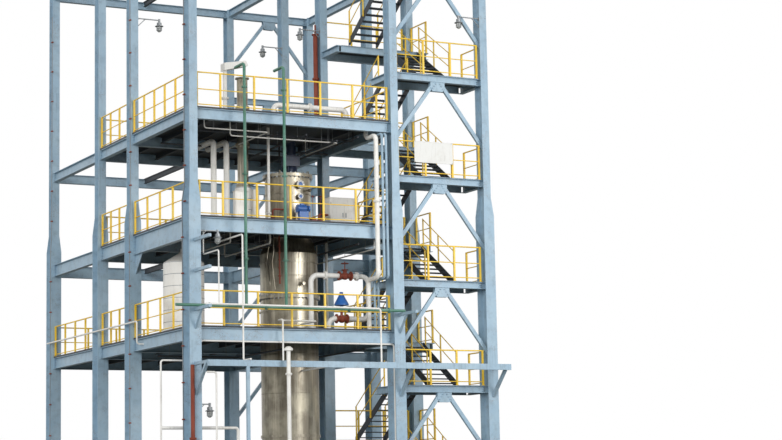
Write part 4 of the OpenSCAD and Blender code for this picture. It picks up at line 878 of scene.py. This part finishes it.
# flanged joints by slot: the way each faces, its radius and where it stands
flanges = flangeTree()
along, upright = (1, 0, 0), (0, 0, 1)
joints = {
    "white_cladding": [
        (along, 0.15, [(0.55, -1.8, 9.22), (1.75, -1.8, 9.22)]),
        (upright, 0.15, [(2.2, -1.8, 8.5), (0, -1.8, 7.42)]),
        (upright, 0.16, [(-2.8, 0, 11.35), (-2.32, 0, 11.35)]),
        (upright, 0.13, [(1.7, -3.55, 11.6)]), (upright, 0.09, [(-1.15, -0.95, 11.4)]),
        (along, 0.15, [(0.2, -1.5, 15.1)]), (upright, 0.13, [(-2.77, -1.0, 15.3)]),
        (upright, 0.11, [(-2.33, -5.0, 3.1), (-2.33, -5.0, 5.6)])],
    "green_paint": [
        (upright, 0.095, [(x, -3.9, z) for x in (-3.3, -1.88) for z in (9.4, 12.2, 15.1)]),
        (along, 0.095, [(x, -3.9, 7.85) for x in (-4.6, -2.6, 0.4, 1.9)])],
    "rust_paint": [
        (upright, 0.115, [(-5.1, -3.685, z) for z in (1.2, 3.6)]),
        (upright, 0.13, [(2.2055, 2.2, z) for z in (15.2, 17.0)]),
        (upright, 0.06, [(-0.86, -1.14, z) for z in (10.25, 10.02, 9.78, 9.5, 9.22)]),
        (upright, 0.07, [(0.62, -1.2, 11.2)]), (upright, 0.06, [(-0.62, -1.25, 11.05)]),
        (along, 0.06, [(0.1, -1.25, 11.25)]), (upright, 0.07, [(-0.9, -0.7, 11.3)])],
    "stainless": [(upright, 0.25, [(-1.7, 0, z) for z in (12.46, 13.9, 15.2)])],
}
for slotName, groups in joints.items():
    applyTree("joints_" + slotName, flanges, flange,
              [(place, facing, radius) for facing, radius, places in groups for place in places], slotName)
print("jackets and joints")

# conduits up the left columns (y, top, foot), stepping in with the taper, and their clamps
conduit = {"pipe": {"Radius": 0.016, "Bend": 0.1, "Sides": 10}, "clamp": (0.05, 0.13, 0.045), "firstClamp": 0.4,
           "clampStep": 1.18, "out": (0.222, 0.162), "stepIn": 0.07, "stepZ": (11.35, 11.9),
           "runs": ((-3.03, 21.0, 0.3), (10.73, 20.6, 0.3), (1.93, 20.0, 0.4))}
runs = []
clamps = bmesh.new()
for y, top, low in conduit["runs"]:
    outer, inner = [lines[0] - out for out in conduit["out"]]
    back = y + math.copysign(conduit["stepIn"], y)
    runs.append([(outer, y, low), (outer, y, conduit["stepZ"][0]), (inner, back, conduit["stepZ"][1]),
                 (inner, back, top)])
    z = low + conduit["firstClamp"]
    while z < top:
        cx, cy = (outer, y) if z < grid["spliceZ"] else (inner, back)
        a, b, c = conduit["clamp"]
        addBlock(clamps, (cx - a / 2, cy - b / 2, z - c / 2), (cx + a / 2 + 0.01, cy + b / 2, z + c / 2))
        z += conduit["clampStep"]
applyTree("conduits", pipes, conduit["pipe"], runs, "galvanised")
meshPiece("conduitClamps", clamps, "rust_paint", bevel=0.004)

# thin pipes under the decks and round the vessel: slot, radius, whether they hang on rods, and routes
small = {
    "paleRuns": ("white_cladding", 0.024, True, [
        [(-3.1, -2.2, 14.38), (-3.1, -2.2, 13.78), (0.9, -2.2, 13.78), (0.9, 0.4, 13.78), (0.9, 0.4, 14.38)],
        [(-4.2, -2.6, 14.38), (-4.2, -2.6, 13.9), (-1.9, -2.6, 13.9), (-1.9, 1.6, 13.9)],
        [(1.9, -2.9, 10.78), (1.9, -2.9, 10.05), (1.9, 1.7, 10.05), (1.9, 1.7, 10.78)],
        [(-3.0, -1.9, 10.78), (-3.0, -1.9, 10.2), (-3.0, 1.6, 10.2), (-3.0, 1.6, 10.78)]]),
    "darkRuns": ("deck_steel", 0.032, True, [
        [(-4.4, -1.6, 14.0), (1.8, -1.6, 14.0), (1.8, -1.6, 14.38)], [(-4.4, 0.9, 13.95), (2.0, 0.9, 13.95)],
        [(0.55, -2.9, 13.72), (0.55, 1.9, 13.72), (0.55, 1.9, 14.38)],
        [(1.35, -2.9, 13.9), (1.35, 1.9, 13.9)], [(-0.6, -2.9, 13.85), (-0.6, 1.9, 13.85)],
        [(-4.4, -1.4, 10.25), (-1.25, -1.4, 10.25), (-1.25, 1.6, 10.25)], [(1.3, -2.9, 10.2), (1.3, 1.9, 10.2)],
        [(-4.4, 1.3, 6.6), (-1.4, 1.3, 6.6), (-1.4, -2.6, 6.6)], [(1.5, -2.9, 6.62), (1.5, 1.9, 6.62)]]),
    "sampleTubes": ("stainless", 0.014, True, [
        [(-1.24, -1.13, 10.7), (-1.24, -1.13, 10.3), (-1.32, -1.13, 9.9), (-1.26, -1.13, 9.3), (-1.22, -1.13, 8.9)],
        [(-1.08, -1.15, 10.7), (-1.08, -1.15, 10.1), (-1.14, -1.15, 9.7), (-1.1, -1.15, 9.2), (-1.04, -1.15, 8.75)]]),
    "stainedRuns": ("rust_paint", 0.030, False, [
        [(-0.86, -1.14, 10.78), (-0.86, -1.14, 8.95)],
        [(-0.62, -1.25, 10.82), (-0.62, -1.25, 11.25), (0.45, -1.25, 11.25), (0.45, -1.25, 10.82)],
        [(0.62, -1.2, 10.82), (0.62, -1.2, 11.42), (1.0, -1.2, 11.42), (1.0, -0.7, 11.42)],
        [(-0.9, -0.7, 10.82), (-0.9, -0.7, 11.6), (-0.5, -0.72, 11.6)]]),
}
hanger = {"rod": {"Radius": 0.008, "Bend": 0.01, "Sides": 6}, "longEnough": 1.2, "at": (0.15, 0.5, 0.85),
          "below": 0.01}
hangers = []
for label, (slotName, radius, hung, routes) in small.items():
    applyTree(label, pipes, {"Radius": radius, "Bend": 0.08, "Sides": 12}, routes, slotName)
    for p, q in [pair for route in routes for pair in zip(route, route[1:])]:
        if hung and abs(p[2] - q[2]) < 0.01 and math.dist(p, q) > hanger["longEnough"]:
            ceiling = min(grid[level] for level in ("level1", "level2", "level3") if grid[level] > p[2])
            for t in hanger["at"]:
                x, y = p[0] + t * (q[0] - p[0]), p[1] + t * (q[1] - p[1])
                hangers.append([(x, y, p[2]), (x, y, ceiling - hanger["below"])])
applyTree("hangers", pipes, hanger["rod"], hangers, "galvanised")
print("conduits and small pipes")

deckLamp = {"places": [(-4.002, 2.035, 18.6), (1.502, 5.435, 18.85), (1.502, 2.035, 18.78), (-4.142, -3.54, 10.32),
                       (-4.462, -3.54, 4.7), (5.102, -3.465, 18.35)], "radius": 0.085, "wires": 6}
bowls, guards = bmesh.new(), bmesh.new()
for place in deckLamp["places"]:
    r = deckLamp["radius"]
    at = Matrix.Translation(place)
    addTurned(bowls, [(r + 0.004, -0.224), (r + 0.006, -0.26), (r - 0.001, -0.375), (0.055, -0.41), (0.03, -0.426),
                      (0.004, -0.428)], at, 28)
    for h, grow in ((-0.24, 0.016), (-0.31, 0.016), (-0.375, 0.010)):
        addRing(guards, [(r + grow, h - 0.004), (r + grow + 0.006, h), (r + grow, h + 0.004)], at, 24)
    for k in range(deckLamp["wires"]):
        addBlock(guards, (r + 0.012, -0.003, -0.375), (r + 0.019, 0.003, -0.225),
                 at @ Matrix.Rotation(math.radians(360 * k / deckLamp["wires"]), 4, "Z"))
meshPiece("lampBowls", bowls, "galvanised", glassFinish)
meshPiece("lampGuards", guards, "galvanised")

# two doors with louvres, hinges on their outer sides and handles on their inner ones
cabinet = {"x": 1.15, "y": -1.0, "z": 10.88, "width": 1.1, "height": 1.17, "margin": 0.03, "hinges": (0.15, 0.95),
           "louvres": 6, "louvrePitch": 0.022}
doors, hardware = bmesh.new(), bmesh.new()
front, base, margin = cabinet["y"], cabinet["z"], cabinet["margin"]
for k in (0, 1):
    x0 = cabinet["x"] + 0.02 + k * (cabinet["width"] / 2 - 0.01)
    x1 = x0 + cabinet["width"] / 2 - margin
    hinge, handle = (x0 + 0.012, x1 - 0.05) if k == 0 else (x1 - 0.012, x0 + 0.05)
    addBlock(doors, (x0, front - 0.018, base + margin), (x1, front + 0.002, base + cabinet["height"] - margin))
    for z in cabinet["hinges"]:
        addTurned(hardware, [(0.010, 0), (0.010, 0.07)], Matrix.Translation((hinge, front - 0.022, base + z)), 10)
    addBlock(hardware, (handle - 0.012, front - 0.045, base + 0.5), (handle + 0.012, front - 0.018, base + 0.66))
    for n in range(cabinet["louvres"]):
        z = base + 0.10 + cabinet["louvrePitch"] * n
        addBlock(doors, (x0 + 0.12, front - 0.026, z), (x1 - 0.12, front - 0.016, z + 0.012))
meshPiece("cabinetDoors", doors, "white_cladding", bevel=0.003)
meshPiece("cabinetHardware", hardware, "galvanised", bevel=0.002)


# fins 4 mm thick that stand out round a motor
def finTree():
    tree, inputs = newTree("coolingFins", {"Radius": 0.13, "Height": 0.02, "Length": 0.25, "Fins": 26})
    around = addNode(tree, "GeometryNodeMeshCircle", {"Vertices": inputs["Fins"], "Radius": inputs["Radius"]})
    size = addNode(tree, "ShaderNodeCombineXYZ", {0: inputs["Height"], 1: 0.004, 2: inputs["Length"]})
    turn = addNode(tree, "FunctionNodeAlignRotationToVector",
                   {"Vector": addNode(tree, "GeometryNodeInputPosition")}, axis="X")
    fin = addNode(tree, "GeometryNodeMeshCube", {"Size": size})
    fins = addNode(tree, "GeometryNodeInstanceOnPoints", {"Points": around, "Instance": fin, "Rotation": turn})
    return endTree(tree, inputs, onPoints(tree, inputs, [fins]))


motor = {"fins": {"Radius": 0.132, "Height": 0.024, "Length": 0.24, "Fins": 26}, "middle": (-0.07, -1.35, 11.56)}
applyTree("motorFins", finTree(), motor["fins"], [(motor["middle"], (1, 0, 0))], "blue_paint")

# stool, gearbox and motor that stand on the vessel's cover, from the foot up
drive = {"x": 0.12, "foot": 12.9, "standTop": 13.26, "gearTop": 13.64, "motorTop": 14.04, "cowlTop": 14.13,
         "flange": 0.29, "gear": (0.27, 0.22), "lid": 0.02, "motor": 0.17, "boltRadius": 0.25,
         "bolt": {"Head": 0.04, "Height": 0.026},
         "fins": {"Radius": 0.176, "Height": 0.03, "Length": 0.30, "Fins": 30}}
foot, stand, gear, top, cowl = [drive[key] for key in ("foot", "standTop", "gearTop", "motorTop", "cowlTop")]
gearX, gearY = drive["gear"]
lid = drive["lid"]
unit = bmesh.new()
spot = Matrix.Translation((drive["x"], 0, 0))
for sides, profile in (
        (40, [(drive["flange"], foot), (drive["flange"], foot + 0.03)]),
        (32, [(0.13, foot + 0.03), (0.11, foot + 0.12), (0.11, stand - 0.1), (0.15, stand)]),
        (36, [(0.21, gear - 0.02), (0.21, gear + 0.01), (drive["motor"], gear + 0.03), (drive["motor"], top)]),
        (36, [(0.19, top - 0.02), (0.19, cowl - 0.03), (0.16, cowl), (0.06, cowl + 0.005)])):
    addTurned(unit, profile, spot, sides)
for k in range(4):
    addBlock(unit, (0.10, -0.012, foot + 0.03), (0.24, 0.012, stand - 0.02),
             spot @ Matrix.Rotation(math.radians(45 + 90 * k), 4, "Z"))
addBlock(unit, (-gearX, -gearY, stand - 0.02), (gearX, gearY, gear - 0.05), spot)
addBlock(unit, (-gearX - lid, -gearY - lid, gear - 0.05), (gearX + lid, gearY + lid, gear - 0.02), spot)
addBlock(unit, (-0.30, -0.09, gear + 0.10), (-0.15, 0.09, gear + 0.28), spot)
# the drive unit and its fins take the navy enamel, partly painted shade
meshPiece("driveUnit", unit, "blue_paint", navyShadedEnamel, bevel=0.006)
applyTree("driveFins", finTree(), drive["fins"], [((drive["x"], 0, gear + 0.20), (0, 0, 1))], "blue_paint",
          navyShadedEnamel)
driveBolts = [(onCircle(drive["boltRadius"], 45 * k + 22, foot + 0.03), (0, 0, 1)) for k in range(8)]
driveBolts += [((dx, dy, gear - 0.02), (0, 0, 1), 0.8) for dx in (-0.26, 0.26) for dy in (-0.2, 0, 0.2)]
driveBolts = [((place[0] + drive["x"], *place[1:]), *rest) for place, *rest in driveBolts]
applyTree("driveBolts", bolts, drive["bolt"], driveBolts, "galvanised")

# box with a door that stands proud and a roof that overhangs
panel = {"low": (-3.25, -2.95, 10.80), "high": (-2.79, -2.75, 11.78)}
box = bmesh.new()
(x0, y0, z0), (x1, y1, z1) = panel["low"], panel["high"]
addBlock(box, panel["low"], panel["high"])
addBlock(box, (x0 + 0.03, y0 - 0.016, z0 + 0.04), (x1 - 0.03, y0 + 0.002, z1 - 0.04))
addBlock(box, (x0 - 0.02, y0 - 0.03, z1), (x1 + 0.02, y1 + 0.02, z1 + 0.015))
meshPiece("panelBox", box, "white_cladding", bevel=0.004)

# bare sheet in a frame of flat strips
sign = {"x": (3.27, 4.74), "z": (13.08, 13.79), "y": -3.43, "thickness": 0.004, "frame": 0.02}
plate = bmesh.new()
(x0, x1), (z0, z1), y, strip = sign["x"], sign["z"], sign["y"], sign["frame"]
addBlock(plate, (x0, y, z0), (x1, y + sign["thickness"], z1))
for z in sign["z"]:
    addBlock(plate, (x0, y - 0.004, z - strip), (x1, y + 0.012, z + strip))
for x in sign["x"]:
    addBlock(plate, (x - strip, y - 0.004, z0 - strip), (x + strip, y + 0.012, z1 + strip))
# the sheet takes the greyer copy of the white jacket, painted shade
meshPiece("bareSign", plate, "white_cladding", dimmedSignFinish, bevel=0.002)
print("lamps, cabinet, motor, panel and sign")
